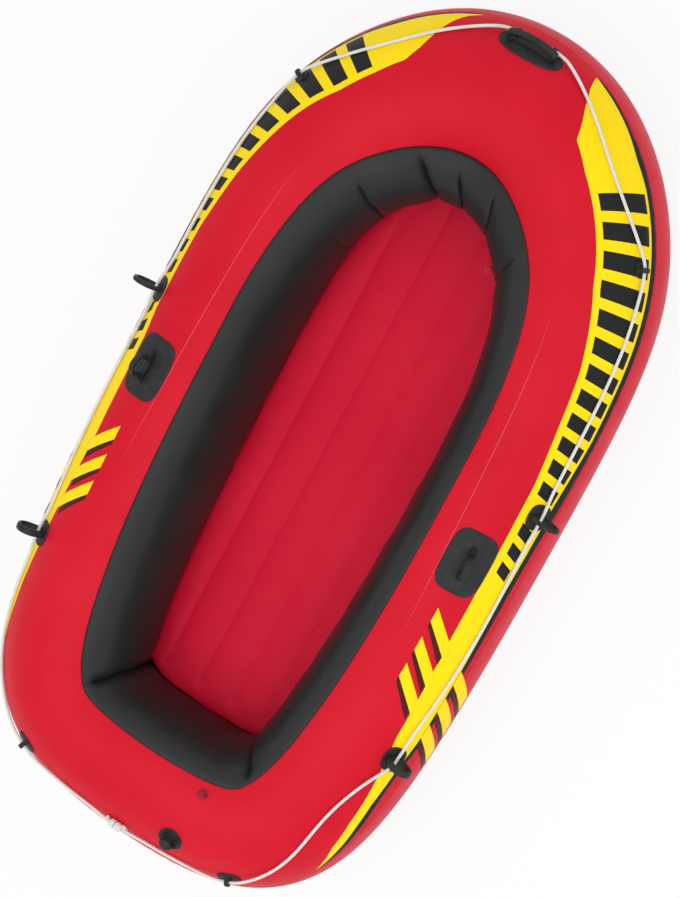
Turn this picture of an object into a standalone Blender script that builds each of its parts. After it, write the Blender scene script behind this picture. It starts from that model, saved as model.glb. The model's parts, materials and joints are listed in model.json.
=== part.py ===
"""Two-person inflatable rowing boat, built from its welded skins, chambers, valves, fittings and rope.

+Y points to the bow, +X to starboard and +Z up, with the origin on the ground under the boat's middle.
Lengths are in metres. Tube angles are in degrees round the hull tube: 0 at its top, 90 at its outer
side, 180 at its bottom.
"""
import math

import bmesh
import bpy
import numpy as np
from mathutils import Matrix, Vector
from mathutils.bvhtree import BVHTree

mm = 0.001

# Hull: overall size, tube and the sheet that it is welded from
boat_length = 1960 * mm
boat_width = 1020 * mm
tube_radius = 166 * mm
skin = 0.4 * mm
gap = 0.3 * mm
ground_flat_angle = 16
station_count = 60
longest_station = 115 * mm
station_turn = 15

# Plan outlines as spline points from bow to stern, in proportion only
hull_shape = ((115, 828), (290, 644), (341, 445), (346, 96), (345, -720), (190, -812))
cockpit_shape = ((60, 586), (153, 476), (203, 302), (202, -100), (171, -673), (82, -683))

# Where the sheets of the tube end, in tube angles
seam_angle = 68
floor_weld_angle = 204
inner_weld_angle = 208
deck_edge_side = 18
deck_edge_bow = 54
deck_edge_bow_start = 180 * mm
deck_edge_bow_blend = 650 * mm
deck_edge_stern = 28.5
deck_edge_stern_blend = 720 * mm
chamber_lap_angle = 1.5
wall_bulge = 22 * mm

# Cockpit, measured in from the boat's sides and ends
side_deck = 306 * mm
bow_deck = 410 * mm
stern_deck = 314 * mm

# Floor
floor_height = 74 * mm
floor_ridge = 6 * mm
floor_beams = 4
outer_beam_clearance = 69 * mm
floor_bay_width = 2 * (boat_width / 2 - side_deck - outer_beam_clearance) / (floor_beams - 1)
floor_drop_depth = 28 * mm
floor_weld_width = 12 * mm
beam_end_margin = 60 * mm

# Oar locks
lock_y = -25 * mm
lock_angle = 18.5
lock_patch_half = (70 * mm, 49 * mm)
lock_patch_thick = 2.5 * mm
lock_bore_radius = 17 * mm
lock_rim = 9 * mm
lock_bore_height = 30 * mm
lock_thick = 13 * mm
lock_foot_half = 38 * mm

# Oar holders, port and starboard, amidships and aft
holder_mid_y = 120 * mm
holder_mid_angle = 50
holder_aft_y = -465 * mm
holder_aft_angle = 47
holder_patch_half = (29 * mm, 26 * mm)
holder_patch_thick = 2 * mm
holder_mid_thick = 9.5 * mm
holder_aft_thick = 15 * mm
holder_slot_half = 15 * mm
holder_mid_slot_height = 50 * mm
holder_aft_slot_height = 46 * mm
holder_rim = 8 * mm
holder_foot_half = 20 * mm

# Rope tabs, port and starboard, at the bow quarter and the stern corner
tab_front_y = 600 * mm
tab_front_angle = 53
tab_corner_x = 217 * mm
tab_corner_angle = 50
tab_front_half = (17 * mm, 14 * mm)
tab_corner_half = (27 * mm, 20 * mm)
tab_patch_thick = 1.6 * mm
tab_thick = 10 * mm
tab_hole_radius = 5 * mm
tab_rim = 5 * mm
tab_foot_half = 13 * mm

# Bow handle and the two rope eyes on its patch
handle_angle = 45
handle_patch_half = (73 * mm, 32 * mm)
handle_patch_thick = 2.5 * mm
handle_half_length = 56 * mm
handle_half_width = 7 * mm
handle_strap = 4 * mm
handle_bar = 2.5 * mm
handle_gap_height = 22 * mm
handle_arch = 0.2
handle_pillar = 9 * mm
handle_eye_place = (40 * mm, -18 * mm)
handle_eye_thick = 8 * mm
handle_eye_radius = 4.6 * mm
handle_eye_rim = 3 * mm
handle_eye_foot_half = 8 * mm

# Screw valve of the hull chamber
screw_valve_x = 117 * mm
screw_valve_angle = 27
valve_flange_radius = 28 * mm
valve_flange_thick = 1.6 * mm
valve_flange_root = 3 * mm
valve_flange_fillet = 1 * mm
throat_radius = 15.5 * mm
throat_wall = 2 * mm
throat_depth = 14 * mm
throat_rise = 6 * mm
insert_wall = 4.5 * mm
insert_collar_radius = 18.5 * mm
insert_collar_thick = 3 * mm
insert_neck_radius = 11 * mm
insert_neck_height = 8 * mm
insert_grid_thick = 1.6 * mm
insert_spoke = 2.4 * mm
flap_thick = 0.8 * mm
flap_stem_radius = 1.4 * mm
flap_hub_clearance = 0.3 * mm
flap_lap = 1.5 * mm
flap_stem_out = 1.2 * mm
seal_thick = 1.6 * mm
seal_inset = 0.5 * mm
cap_wall = 2.6 * mm
cap_bevel = 0.8 * mm
tether_ring_thick = 1.6 * mm
tether_ring_wall = 2 * mm
tether_hoop_drop = 5 * mm
tether_half_width = 3 * mm
tether_reach = 5 * mm

# Push-in oral valves of the inner chamber and of the floor
oral_chamber_x = 152.6 * mm
oral_chamber_angle = -17.6
oral_floor_bays = 1
oral_floor_clearance = 90 * mm
oral_floor_place = (oral_floor_bays * floor_bay_width, boat_length / 2 - bow_deck - oral_floor_clearance)
oral_flange_radius = 11 * mm
oral_flange_thick = 1.2 * mm
oral_stem_radius = 5.5 * mm
oral_bore_radius = 3.9 * mm
oral_rise = 5 * mm
oral_depth = 9 * mm
plug_disc_radius = 5.5 * mm
plug_disc_thick = 1.6 * mm
plug_pin_radius = 3.3 * mm
plug_pin_tip = 2.5 * mm
plug_pin_length = 4 * mm
plug_hinge_reach = 9 * mm
plug_hinge_half = 1.2 * mm
plug_ear_thick = 1.4 * mm
plug_arm_half = 1.6 * mm

# Segments round the small round pieces, how far the valves' holes are turned from the sheet's own
# lines, and how joined shapes run into each other
round_sides = 24
hole_turn = 3.5
weld_lap = 0.8 * mm
weld_inset = 0.1 * mm

# Power of each patch outline: 2 is an ellipse, and more is nearer a rectangle
oval_power = 2.2
round_power = 2.8
square_power = 4

# How the place of each fitting is felt out on the hull
probe_height = 10 * mm
probe_steps = 31

# Grab rope
rope_radius = 3.5 * mm
rope_rest = 2 * mm
rope_rise_reach = 38 * mm
rope_straight = 3 * mm
rope_near = 26 * mm
knot_half_length = 17 * mm
knot_radius = 8 * mm


def colour(code):
    """The linear colour of an sRGB hex code."""
    parts = [int(code[i:i + 2], 16) / 255 for i in (0, 2, 4)]
    return [c / 12.92 if c <= 0.04045 else ((c + 0.055) / 1.055) ** 2.4 for c in parts] + [1.0]


def material(name, code, roughness, coat=0.0):
    made = bpy.data.materials.new(name)
    made.use_nodes = True
    shader = made.node_tree.nodes["Principled BSDF"]
    shader.inputs["Base Color"].default_value = colour(code)
    shader.inputs["Roughness"].default_value = roughness
    shader.inputs["Coat Weight"].default_value = coat
    return made


def clear_scene():
    for item in list(bpy.data.objects):
        bpy.data.objects.remove(item, do_unlink=True)


def mesh_object(name, points, faces, look, smooth_angle=35):
    """A mesh object with its faces turned outward and its round stretches shaded smooth."""
    mesh = bpy.data.meshes.new(name)
    mesh.from_pydata([tuple(map(float, p)) for p in points], [], [list(map(int, f)) for f in faces])
    work = bmesh.new()
    work.from_mesh(mesh)
    bmesh.ops.recalc_face_normals(work, faces=work.faces)
    work.to_mesh(mesh)
    work.free()
    mesh.materials.append(look)
    mesh.shade_smooth()
    mesh.set_sharp_from_angle(angle=math.radians(smooth_angle))
    made = bpy.data.objects.new(name, mesh)
    bpy.context.scene.collection.objects.link(made)
    return made


def cut(target, cutter, operation="DIFFERENCE"):
    """Cuts, or clips, one object with another, which is kept as a hidden guide."""
    cutter.hide_render = True
    cutter.display_type = "WIRE"
    change = target.modifiers.new(operation.lower() + "_" + cutter.name, "BOOLEAN")
    change.operation = operation
    change.object = cutter
    change.solver = "EXACT"


# Plan outlines

def control_points(shape, half_width, bow, stern):
    """The outline's spline points on both sides, scaled so that the curve reaches these limits."""
    half = np.array(shape, float)
    both = np.vstack([half, (half * (-1, 1))[::-1]])
    curve = spline(both, np.linspace(-0.5, len(both) - 0.5, 1200))
    low, high = curve[:, 1].min(), curve[:, 1].max()
    both[:, 0] *= half_width / curve[:, 0].max()
    both[:, 1] = stern + (both[:, 1] - low) * (bow - stern) / (high - low)
    return both


def spline(control, u):
    """Points of a closed uniform cubic B-spline: -0.5 is the bow, and starboard comes first."""
    u = np.asarray(u, float)
    i = np.floor(u).astype(int)
    t = (u - i)[:, None]
    weights = ((1 - t) ** 3, 3 * t**3 - 6 * t**2 + 4, -3 * t**3 + 3 * t**2 + 3 * t + 1, t**3)
    n = len(control)
    return sum(w * control[(i + k) % n] for w, k in zip(weights, (-1, 0, 1, 2))) / 6


def outward(travel):
    """Unit normals to the left of the travel, which is outward on this clockwise path."""
    travel = travel / np.linalg.norm(travel, axis=1)[:, None]
    return np.stack([-travel[:, 1], travel[:, 0]], 1)


half_beam = boat_width / 2
half_length = boat_length / 2
hull_control = control_points(
    hull_shape, half_beam - tube_radius, half_length - tube_radius, tube_radius - half_length
)
cockpit_control = control_points(
    cockpit_shape, half_beam - side_deck, half_length - bow_deck, stern_deck - half_length
)
fine_u = np.linspace(-0.5, len(hull_control) - 0.5, 2401)
fine_path = spline(hull_control, fine_u)
fine_step = np.linalg.norm(np.diff(fine_path, axis=0), axis=1)
fine_length = np.r_[0, np.cumsum(fine_step)]
path_length = fine_length[-1]
fine_normal = outward(np.gradient(fine_path, axis=0))
fine_heading = np.unwrap(np.arctan2(fine_normal[:, 1], fine_normal[:, 0]))
tube_height = tube_radius * math.cos(math.radians(ground_flat_angle / 2))


def stations():
    """Spline values of the cross-sections: closer together where the path turns."""
    turn = np.abs(np.diff(fine_heading)) / math.radians(station_turn)
    need = np.r_[0, np.cumsum(fine_step / longest_station + turn)]
    return np.interp(np.arange(station_count) * need[-1] / station_count, need, fine_u)


station_u = stations()
centre = spline(hull_control, station_u)
normal = np.stack([np.interp(station_u, fine_u, fine_normal[:, k]) for k in (0, 1)], 1)
normal /= np.linalg.norm(normal, axis=1)[:, None]
travel = np.stack([normal[:, 1], -normal[:, 0]], 1)


def section(p, q, r=0.0):
    """Points at every station: p outward from the tube's axis, q above it, r along the path."""
    p, q, r = (np.broadcast_to(v, (station_count,))[:, None] for v in (p, q, r))
    flat = centre + p * normal + r * travel
    return np.hstack([flat, tube_height + q])


def on_tube(angle, radius=tube_radius):
    turn = np.radians(angle)
    return section(radius * np.sin(turn), radius * np.cos(turn))


def ring_skin(name, outer, inner, look):
    """A sheet that runs all round the boat, from rows of points on its two faces.

    Its quads are split the same way on both faces, so that the thin wall keeps its thickness.
    """
    rows = np.stack(list(outer) + list(inner)[::-1])
    count = len(rows)
    points = rows.transpose(1, 0, 2).reshape(-1, 3)
    faces = []
    for i in range(station_count):
        j = (i + 1) % station_count
        for a in range(count):
            b = (a + 1) % count
            p, q, r, s = i * count + a, j * count + a, j * count + b, i * count + b
            if (i < station_count // 2) == (a < len(outer)):
                faces += [(p, q, r), (p, r, s)]
            else:
                faces += [(p, q, s), (q, r, s)]
    return mesh_object(name, points, faces, look, 40)


# Hull skins and chambers

def deck_edge_angle():
    """Tube angle of the inner edge of the deck at each station."""
    y = centre[:, 1]
    to_bow = np.clip((y - deck_edge_bow_start) / deck_edge_bow_blend, 0, 1) ** 2
    to_stern = np.clip(-y / deck_edge_stern_blend, 0, 1) ** 2
    edge = deck_edge_side + (deck_edge_bow - deck_edge_side) * to_bow
    return -(edge + (deck_edge_stern - deck_edge_side) * to_stern)


deck_edge = deck_edge_angle()
ground_start = 180 - ground_flat_angle / 2
ground_end = 180 + ground_flat_angle / 2
top_rows = [deck_edge * t for t in (1, 2 / 3, 1 / 3)] + list(np.linspace(0, seam_angle, 6))
seam_lap = math.degrees(gap / tube_radius)
bottom_rows = (
    list(np.linspace(seam_angle + seam_lap, 90, 3))
    + list(np.linspace(90, ground_start, 6)[1:])
    + [ground_end, floor_weld_angle, inner_weld_angle]
)


def chamber_rows(inset=0.0):
    """Rows of the inner chamber's sheet, from the deck's edge round to its weld by the floor."""
    start_r = tube_radius + 2.5 * gap
    start = np.radians(deck_edge + chamber_lap_angle)
    end_r = tube_radius + 1.2 * gap + 0.8 * skin
    end = math.radians(inner_weld_angle)
    start_p, start_q = start_r * np.sin(start), start_r * np.cos(start) + skin
    end_p, end_q = end_r * math.sin(end), end_r * math.cos(end)
    edge = spline(cockpit_control, station_u) - centre
    bulge_p = (edge * normal).sum(1) - (start_p + end_p) / 2
    bulge_r = (edge * travel).sum(1)
    rows = []
    for turn in np.radians(np.linspace(0, 180, 9)):
        share = (1 - math.cos(turn)) / 2
        p = start_p + (end_p - start_p) * share + bulge_p * math.sin(turn)
        q = start_q + (end_q - start_q) * share
        slope_p = (end_p - start_p) * math.sin(turn) / 2 + bulge_p * math.cos(turn)
        slope_q = (end_q - start_q) * math.sin(turn) / 2
        size = np.hypot(slope_p, slope_q)
        inward_p, inward_q = -slope_q / size, slope_p / size
        rows.append(section(p + inset * inward_p, q + inset * inward_q, bulge_r * math.sin(turn)))
    return rows


def wall_rows(inset=0.0):
    """Rows of the wall between the hull chamber and the inner chamber."""
    radius = tube_radius - skin - gap
    low = math.radians(ground_end)
    low_p, low_q = radius * math.sin(low), radius * math.cos(low)
    rows = []
    for share in np.linspace(0, 1, 5):
        p = low_p * share - wall_bulge * math.sin(math.pi * share) + inset
        rows.append(section(p, radius + (low_q - radius) * share))
    return rows


def build_hull(looks):
    """The hull's top and bottom sheets, the wall inside it and the inner chamber's sheet."""
    inside = tube_radius - skin
    top = ring_skin(
        "hull_top_skin", [on_tube(a) for a in top_rows], [on_tube(a, inside) for a in top_rows],
        looks["red"],
    )
    ring_skin(
        "hull_bottom_skin", [on_tube(a) for a in bottom_rows],
        [on_tube(a, inside) for a in bottom_rows], looks["dark_red"],
    )
    ring_skin("chamber_wall", wall_rows(), wall_rows(skin), looks["dark_red"])
    ring_skin("inner_chamber_skin", chamber_rows(), chamber_rows(skin), looks["black"])
    return top


# Floor

def prism(name, outline, low, high, look):
    """A straight prism over a closed plan outline."""
    n = len(outline)
    points = [(x, y, low) for x, y in outline] + [(x, y, high) for x, y in outline]
    faces = [tuple(range(n)), tuple(range(n, 2 * n))] + sides(list(range(n)), list(range(n, 2 * n)))
    return mesh_object(name, points, faces, look)


def cockpit_at(height):
    """Plan outline of the inner chamber's sheet at this height, below its widest part."""
    rows = np.array(chamber_rows())[4:]
    found = []
    for line in rows.transpose(1, 0, 2):
        found.append([np.interp(-height, -line[:, 2], line[:, k]) for k in (0, 1)])
    return np.array(found)


floor_valley = floor_height - floor_ridge
floor_weld = on_tube(floor_weld_angle)
floor_base = floor_weld[:, 2].min() - 1.5 * gap
floor_sheet_edge = cockpit_at(floor_height) - normal * 2 * gap


def ridge_height(x):
    """Height of the floor's top sheet: one round ridge between each pair of beams."""
    bays = x / floor_bay_width + (floor_beams + 1) / 2
    return floor_valley + floor_ridge * abs(math.sin(math.pi * bays))


def build_floor(looks):
    """The floor's ridged top sheet, flat bottom sheet, edge band and the beams that tie them."""
    half = (floor_beams + 1) * floor_bay_width / 2
    columns = np.linspace(-half, half, (floor_beams + 1) * 4 + 1)
    tops = [(x, ridge_height(x)) for x in columns]
    loop = tops + [(x, z - skin) for x, z in reversed(tops)]
    n = len(loop)
    points = [(x, y, z) for y in (-half_length, half_length) for x, z in loop]
    faces = [tuple(range(n)), tuple(range(n, 2 * n))] + sides(list(range(n)), list(range(n, 2 * n)))
    top = mesh_object("floor_top_sheet", points, faces, looks["floor_red"])
    low, high = floor_valley - 4 * skin, floor_height + 4 * skin
    clip = prism("floor_outline", floor_sheet_edge, low, high, looks["red"])
    cut(top, clip, "INTERSECT")

    prism("floor_bottom_sheet", floor_weld[:, :2], floor_base - skin, floor_base, looks["dark_red"])

    def band(inset):
        foot = np.radians(floor_weld_angle)
        foot_p = tube_radius * math.sin(foot) - floor_weld_width + inset
        upright = floor_sheet_edge + normal * (inset - 2 * gap)
        high_row = np.hstack([upright, np.full((station_count, 1), floor_valley - skin - gap)])
        low_row = high_row - (0, 0, floor_drop_depth)
        return [high_row, low_row, section(foot_p, floor_base + gap - tube_height)]

    ring_skin("floor_edge_band", band(0), band(-skin), looks["dark_red"])

    side = floor_sheet_edge[1:station_count // 2]
    for number in range(1, floor_beams + 1):
        x = (number - (floor_beams + 1) / 2) * floor_bay_width
        reach = [y for (a, y) in side if a > abs(x) + skin]
        bow, stern = max(reach) - beam_end_margin, min(reach) + beam_end_margin
        left, right = x - skin / 2, x + skin / 2
        outline = [(left, stern), (right, stern), (right, bow), (left, bow)]
        name = f"floor_beam_{number}"
        prism(name, outline, floor_base + gap, floor_valley - skin - gap, looks["dark_red"])


# Places on the hull

class Seat:
    """A place on the hull tube: x runs along the tube, y up over it and z out of it."""

    def __init__(self, length, angle, reach, hull):
        self.length = length
        self.angle = math.radians(angle)
        self.radius = tube_radius
        step = 1 * mm
        moved = np.array(self.curved(0, 0, 0, length + step)) - self.curved(0, 0, 0, length - step)
        self.stretch = np.linalg.norm(moved) / (2 * step)
        facet_drop = (reach[1] / 3) ** 2 / (8 * tube_radius)
        self.radius = tube_radius + self.highest(reach, hull) + facet_drop + gap

    def curved(self, x, y, z, length=None):
        """The point of the hull's own curved coordinates."""
        if length is None:
            length = self.length - x / self.stretch
        around = self.angle - y / self.radius
        wrapped = length % path_length
        place = [np.interp(wrapped, fine_length, fine_path[:, k]) for k in (0, 1)]
        out = np.array([np.interp(wrapped, fine_length, fine_normal[:, k]) for k in (0, 1)])
        out /= np.linalg.norm(out)
        p = (self.radius + z) * math.sin(around)
        return np.array([*(place + p * out), tube_height + (self.radius + z) * math.cos(around)])

    def highest(self, reach, hull):
        """How far the faceted hull comes up to its true round surface, under this footprint."""
        best, mid, span = (-probe_height, 0, 0), (0, 0), reach
        for _ in range(2):
            xs = np.linspace(mid[0] - span[0], mid[0] + span[0], probe_steps)
            ys = np.linspace(mid[1] - span[1], mid[1] + span[1], probe_steps)
            for x in np.clip(xs, -reach[0], reach[0]):
                for y in np.clip(ys, -reach[1], reach[1]):
                    above = self.curved(x, y, probe_height)
                    aim = Vector(self.curved(x, y, -probe_height) - above).normalized()
                    hit = hull.ray_cast(Vector(above), aim)
                    if hit[0] and probe_height - hit[3] > best[0]:
                        best = (probe_height - hit[3], x, y)
            mid, span = best[1:], [4 * r / probe_steps for r in reach]
        return best[0]

    def rigid(self):
        """The straight frame at the middle of the place."""
        origin = self.curved(0, 0, 0)
        out = Vector(self.curved(0, 0, 1 * mm) - origin).normalized()
        along = Vector(self.curved(1 * mm, 0, 0) - origin)
        along = (along - out * along.dot(out)).normalized()
        up = out.cross(along)
        frame = Matrix((along, up, out)).transposed().to_4x4()
        frame.translation = Vector(origin)
        return frame


def length_at(value, axis):
    """Path length where the starboard half of the path passes this x or y."""
    half = fine_length <= path_length / 2
    values, lengths = fine_path[half, axis], fine_length[half]
    if axis == 1:
        return float(np.interp(-value, -values, lengths))
    stern_half = lengths > path_length / 4
    return float(np.interp(-value, -values[stern_half], lengths[stern_half]))


def placed(name, points, faces, seat, look, side=1, bend=True):
    """An object from local points at a seat, mirrored for the port side."""
    if bend:
        world = [seat.curved(*p) for p in points]
    else:
        frame = seat.rigid()
        world = [frame @ Vector(p) for p in points]
    return mesh_object(name, [(p[0] * side, p[1], p[2]) for p in world], faces, look)


def slab(half_x, half_y, power, low, high, rows=6, columns=6):
    """Points and faces of a sheet with a rounded outline: |x/a|^n + |y/b|^n = 1."""
    turn = np.radians(np.linspace(-78, 78, rows + 1))
    points = []
    for z in (low, high):
        for y in half_y * np.sin(turn) / math.sin(math.radians(78)):
            share = min(abs(y / half_y), 0.97)
            reach = half_x * (1 - share**power) ** (1 / power)
            points += [(x, y, z) for x in np.linspace(-reach, reach, columns + 1)]
    across = columns + 1
    layer = across * (rows + 1)
    faces = []
    for r in range(rows):
        for c in range(columns):
            a = r * across + c
            quad = (a, a + 1, a + across + 1, a + across)
            faces += [quad, tuple(layer + k for k in quad)]
    rim = list(range(across)) + [r * across + columns for r in range(1, rows + 1)]
    rim += [rows * across + c for c in range(columns - 1, -1, -1)]
    rim += [r * across for r in range(rows - 1, 0, -1)]
    faces += [(a, b, layer + b, layer + a) for a, b in zip(rim, rim[1:] + rim[:1])]
    return points, faces


def pierced_plate(outer, inner, thick, along="x"):
    """A plate with a hole: two loops of as many points, across the plate's thickness."""
    n = len(outer)
    points = []
    for level in (-thick / 2, thick / 2):
        for u, z in list(outer) + list(inner):
            points.append((level, u, z) if along == "x" else (u, level, z))
    faces = []
    for i in range(n):
        j = (i + 1) % n
        faces += [(i, j, n + j, n + i), (2 * n + i, 2 * n + j, 3 * n + j, 3 * n + i)]
        faces += [(i, j, 2 * n + j, 2 * n + i), (n + i, n + j, 3 * n + j, 3 * n + i)]
    return points, faces


def eye_loops(radius_x, radius_z, rim, foot_half, height, base, count=round_sides):
    """Loops of an eye on a foot: an oval hole with a rim, and a foot that widens to the base."""
    inner, outer = [], []
    for i in range(count):
        turn = 2 * math.pi * i / count + math.pi / 2
        c, s = math.cos(turn), math.sin(turn)
        inner.append((radius_x * c, height + radius_z * s))
        if s >= 0:
            outer.append(((radius_x + rim) * c, height + (radius_z + rim) * s))
        else:
            spread = (radius_x + rim) + (foot_half - radius_x - rim) * min(1, -2 * s) ** 2
            outer.append((spread * max(-1, min(1, 1.9 * c)), base + (height - base) * max(0, 1 + 1.6 * s)))
    return outer, inner


def build_eye_fitting(names, seat, look, side, patch, eye):
    """A welded patch with a moulded eye standing on it, across the rope's way or the oar's."""
    points, faces = slab(*patch["half"], patch["power"], 0, patch["thick"])
    placed(names[0], points, faces, seat, look, side)
    base = patch["thick"] + gap
    loops = eye_loops(eye["radius_x"], eye["radius_z"], eye["rim"], eye["foot"], eye["height"], base)
    points, faces = pierced_plate(*loops, eye["thick"], eye["along"])
    placed(names[1], points, faces, seat, look, side, bend=eye["along"] == "x")


def build_fittings(hull, looks):
    """The oar locks, oar holders and rope tabs on both sides. Returns where the rope passes."""
    lock = dict(half=lock_patch_half, power=square_power, thick=lock_patch_thick)
    lock_eye = dict(
        radius_x=lock_bore_radius, radius_z=lock_bore_radius, rim=lock_rim, foot=lock_foot_half,
        height=lock_bore_height, thick=lock_thick, along="y",
    )
    tab_height = tab_patch_thick + gap + tab_rim / 2 + tab_hole_radius
    tab_eye = dict(
        radius_x=tab_hole_radius, radius_z=tab_hole_radius, rim=tab_rim, foot=tab_foot_half,
        height=tab_height, thick=tab_thick, along="x", rope=tab_height,
    )

    def holder_eye(slot_height, thick):
        bottom = holder_patch_thick + gap + holder_rim / 2
        return dict(
            radius_x=holder_slot_half, radius_z=slot_height / 2, rim=holder_rim, foot=holder_foot_half,
            height=bottom + slot_height / 2, thick=thick, along="x", rope=bottom + rope_radius + 3 * gap,
        )

    holder = dict(half=holder_patch_half, power=round_power, thick=holder_patch_thick)
    front = dict(half=tab_front_half, power=round_power, thick=tab_patch_thick)
    corner = dict(half=tab_corner_half, power=round_power, thick=tab_patch_thick)
    mid_eye = holder_eye(holder_mid_slot_height, holder_mid_thick)
    aft_eye = holder_eye(holder_aft_slot_height, holder_aft_thick)
    places = {
        "oarlock": (length_at(lock_y, 1), lock_angle, lock, lock_eye),
        "oar_holder_mid": (length_at(holder_mid_y, 1), holder_mid_angle, holder, mid_eye),
        "oar_holder_aft": (length_at(holder_aft_y, 1), holder_aft_angle, holder, aft_eye),
        "rope_tab_front": (length_at(tab_front_y, 1), tab_front_angle, front, tab_eye),
        "rope_tab_stern": (length_at(tab_corner_x, 0), tab_corner_angle, corner, tab_eye),
    }
    holds = []
    for name, (length, angle, patch, eye) in places.items():
        seat = Seat(length, angle, patch["half"], hull)
        for side, word in ((1, "starboard"), (-1, "port")):
            names = (f"{name}_patch_{word}", f"{name}_{word}")
            build_eye_fitting(names, seat, looks["fitting"], side, patch, eye)
        if "rope" in eye:
            height = seat.radius - tube_radius + eye["rope"]
            holds.append((length, angle, height, eye["thick"] / 2 + rope_straight))
    return holds


def build_handle(hull, looks):
    """The bow handle: an oval patch, a raised strap, and two eyes for the rope beside it."""
    seat = Seat(0.0, handle_angle, handle_patch_half, hull)
    points, faces = slab(*handle_patch_half, oval_power, 0, handle_patch_thick, columns=12)
    placed("bow_handle_patch", points, faces, seat, looks["fitting"])
    base = handle_patch_thick + gap + handle_half_width**2 / (2 * tube_radius)
    gap_half = handle_half_length - handle_pillar
    outer, inner = [], []
    for x in np.linspace(-1, 1, 13):
        arch = 1 - handle_arch * x * x
        outer.append((handle_half_length * x, base + (handle_gap_height + handle_strap) * arch))
        inner.append((gap_half * x, base + handle_gap_height * arch))
    for x in np.linspace(1, -1, 13):
        outer.append((handle_half_length * x, base))
        inner.append((gap_half * x, base + handle_bar))
    points, faces = pierced_plate(outer, inner, 2 * handle_half_width, "y")
    placed("bow_handle_grip", points, faces, seat, looks["fitting"])

    base = handle_patch_thick + gap
    height = base + handle_eye_rim / 2 + handle_eye_radius
    loops = eye_loops(
        handle_eye_radius, handle_eye_radius, handle_eye_rim, handle_eye_foot_half, height, base
    )
    points, faces = pierced_plate(*loops, handle_eye_thick)
    x, y = handle_eye_place
    points = [(px + x, py + y, pz) for px, py, pz in points]
    for side, word in ((-1, "starboard"), (1, "port")):
        placed(f"bow_handle_eye_{word}", points, faces, seat, looks["fitting"], side)
    angle = handle_angle - math.degrees(y / seat.radius)
    return 0.0, angle, seat.radius - tube_radius + height, x + handle_eye_thick / 2 + rope_straight


# Turned pieces

def turned(profile, count=round_sides):
    """Points and faces of a ring turned about z from a closed profile of (radius, height)."""
    n = len(profile)
    points = []
    for i in range(count):
        turn = 2 * math.pi * i / count
        points += [(r * math.cos(turn), r * math.sin(turn), z) for r, z in profile]
    faces = []
    for i in range(count):
        j = (i + 1) % count
        faces += [(i * n + k, i * n + (k + 1) % n, j * n + (k + 1) % n, j * n + k) for k in range(n)]
    return points, faces


def solid_turned(profile, count=round_sides):
    """A turned solid: the profile starts and ends on the axis."""
    inner = profile[1:-1]
    n = len(inner)
    points = [(0, 0, profile[0][1]), (0, 0, profile[-1][1])]
    for i in range(count):
        turn = 2 * math.pi * i / count
        points += [(r * math.cos(turn), r * math.sin(turn), z) for r, z in inner]
    faces = []
    for i in range(count):
        a, b = 2 + i * n, 2 + ((i + 1) % count) * n
        faces += [(0, a, b), (1, a + n - 1, b + n - 1)]
        faces += [(a + k, a + k + 1, b + k + 1, b + k) for k in range(n - 1)]
    return points, faces


def rigid_piece(name, shape, frame, look):
    """A piece made in its own frame, whose z is its axis."""
    made = mesh_object(name, *shape, look)
    made.matrix_world = frame
    return made


def block(low, high):
    """Points and faces of a straight block between two corners."""
    points = [(x, y, z) for z in (low[2], high[2]) for x, y in (
        (low[0], low[1]), (high[0], low[1]), (high[0], high[1]), (low[0], high[1])
    )]
    faces = [(0, 1, 2, 3), (4, 5, 6, 7)]
    return points, faces + [(i, (i + 1) % 4, 4 + (i + 1) % 4, 4 + i) for i in range(4)]


def sides(first, second):
    """Faces that join two loops of point numbers."""
    return [
        (a, b, d, c)
        for a, b, c, d in zip(first, first[1:] + first[:1], second, second[1:] + second[:1])
    ]


def skin_hole(name, frame, radius, target, look):
    """A round hole through a sheet, for a valve's throat."""
    reach = 2 * probe_height
    profile = [(0, -reach), (radius, -reach), (radius, reach), (0, reach)]
    turned_frame = frame @ Matrix.Rotation(math.radians(hole_turn), 4, "Z")
    cut(target, rigid_piece(name, solid_turned(profile), turned_frame, look))


def draped_flange(seat, throat, ring):
    """A turned ring whose flange follows the hull: rings beyond the throat sink with the surface."""
    points, faces = ring
    frame = seat.rigid()
    inverse = frame.inverted()
    world = []
    for x, y, z in points:
        if math.hypot(x, y) > throat:
            world.append(inverse @ Vector(seat.curved(x, y, z)))
        else:
            world.append(Vector((x, y, z)))
    return world, faces


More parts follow.
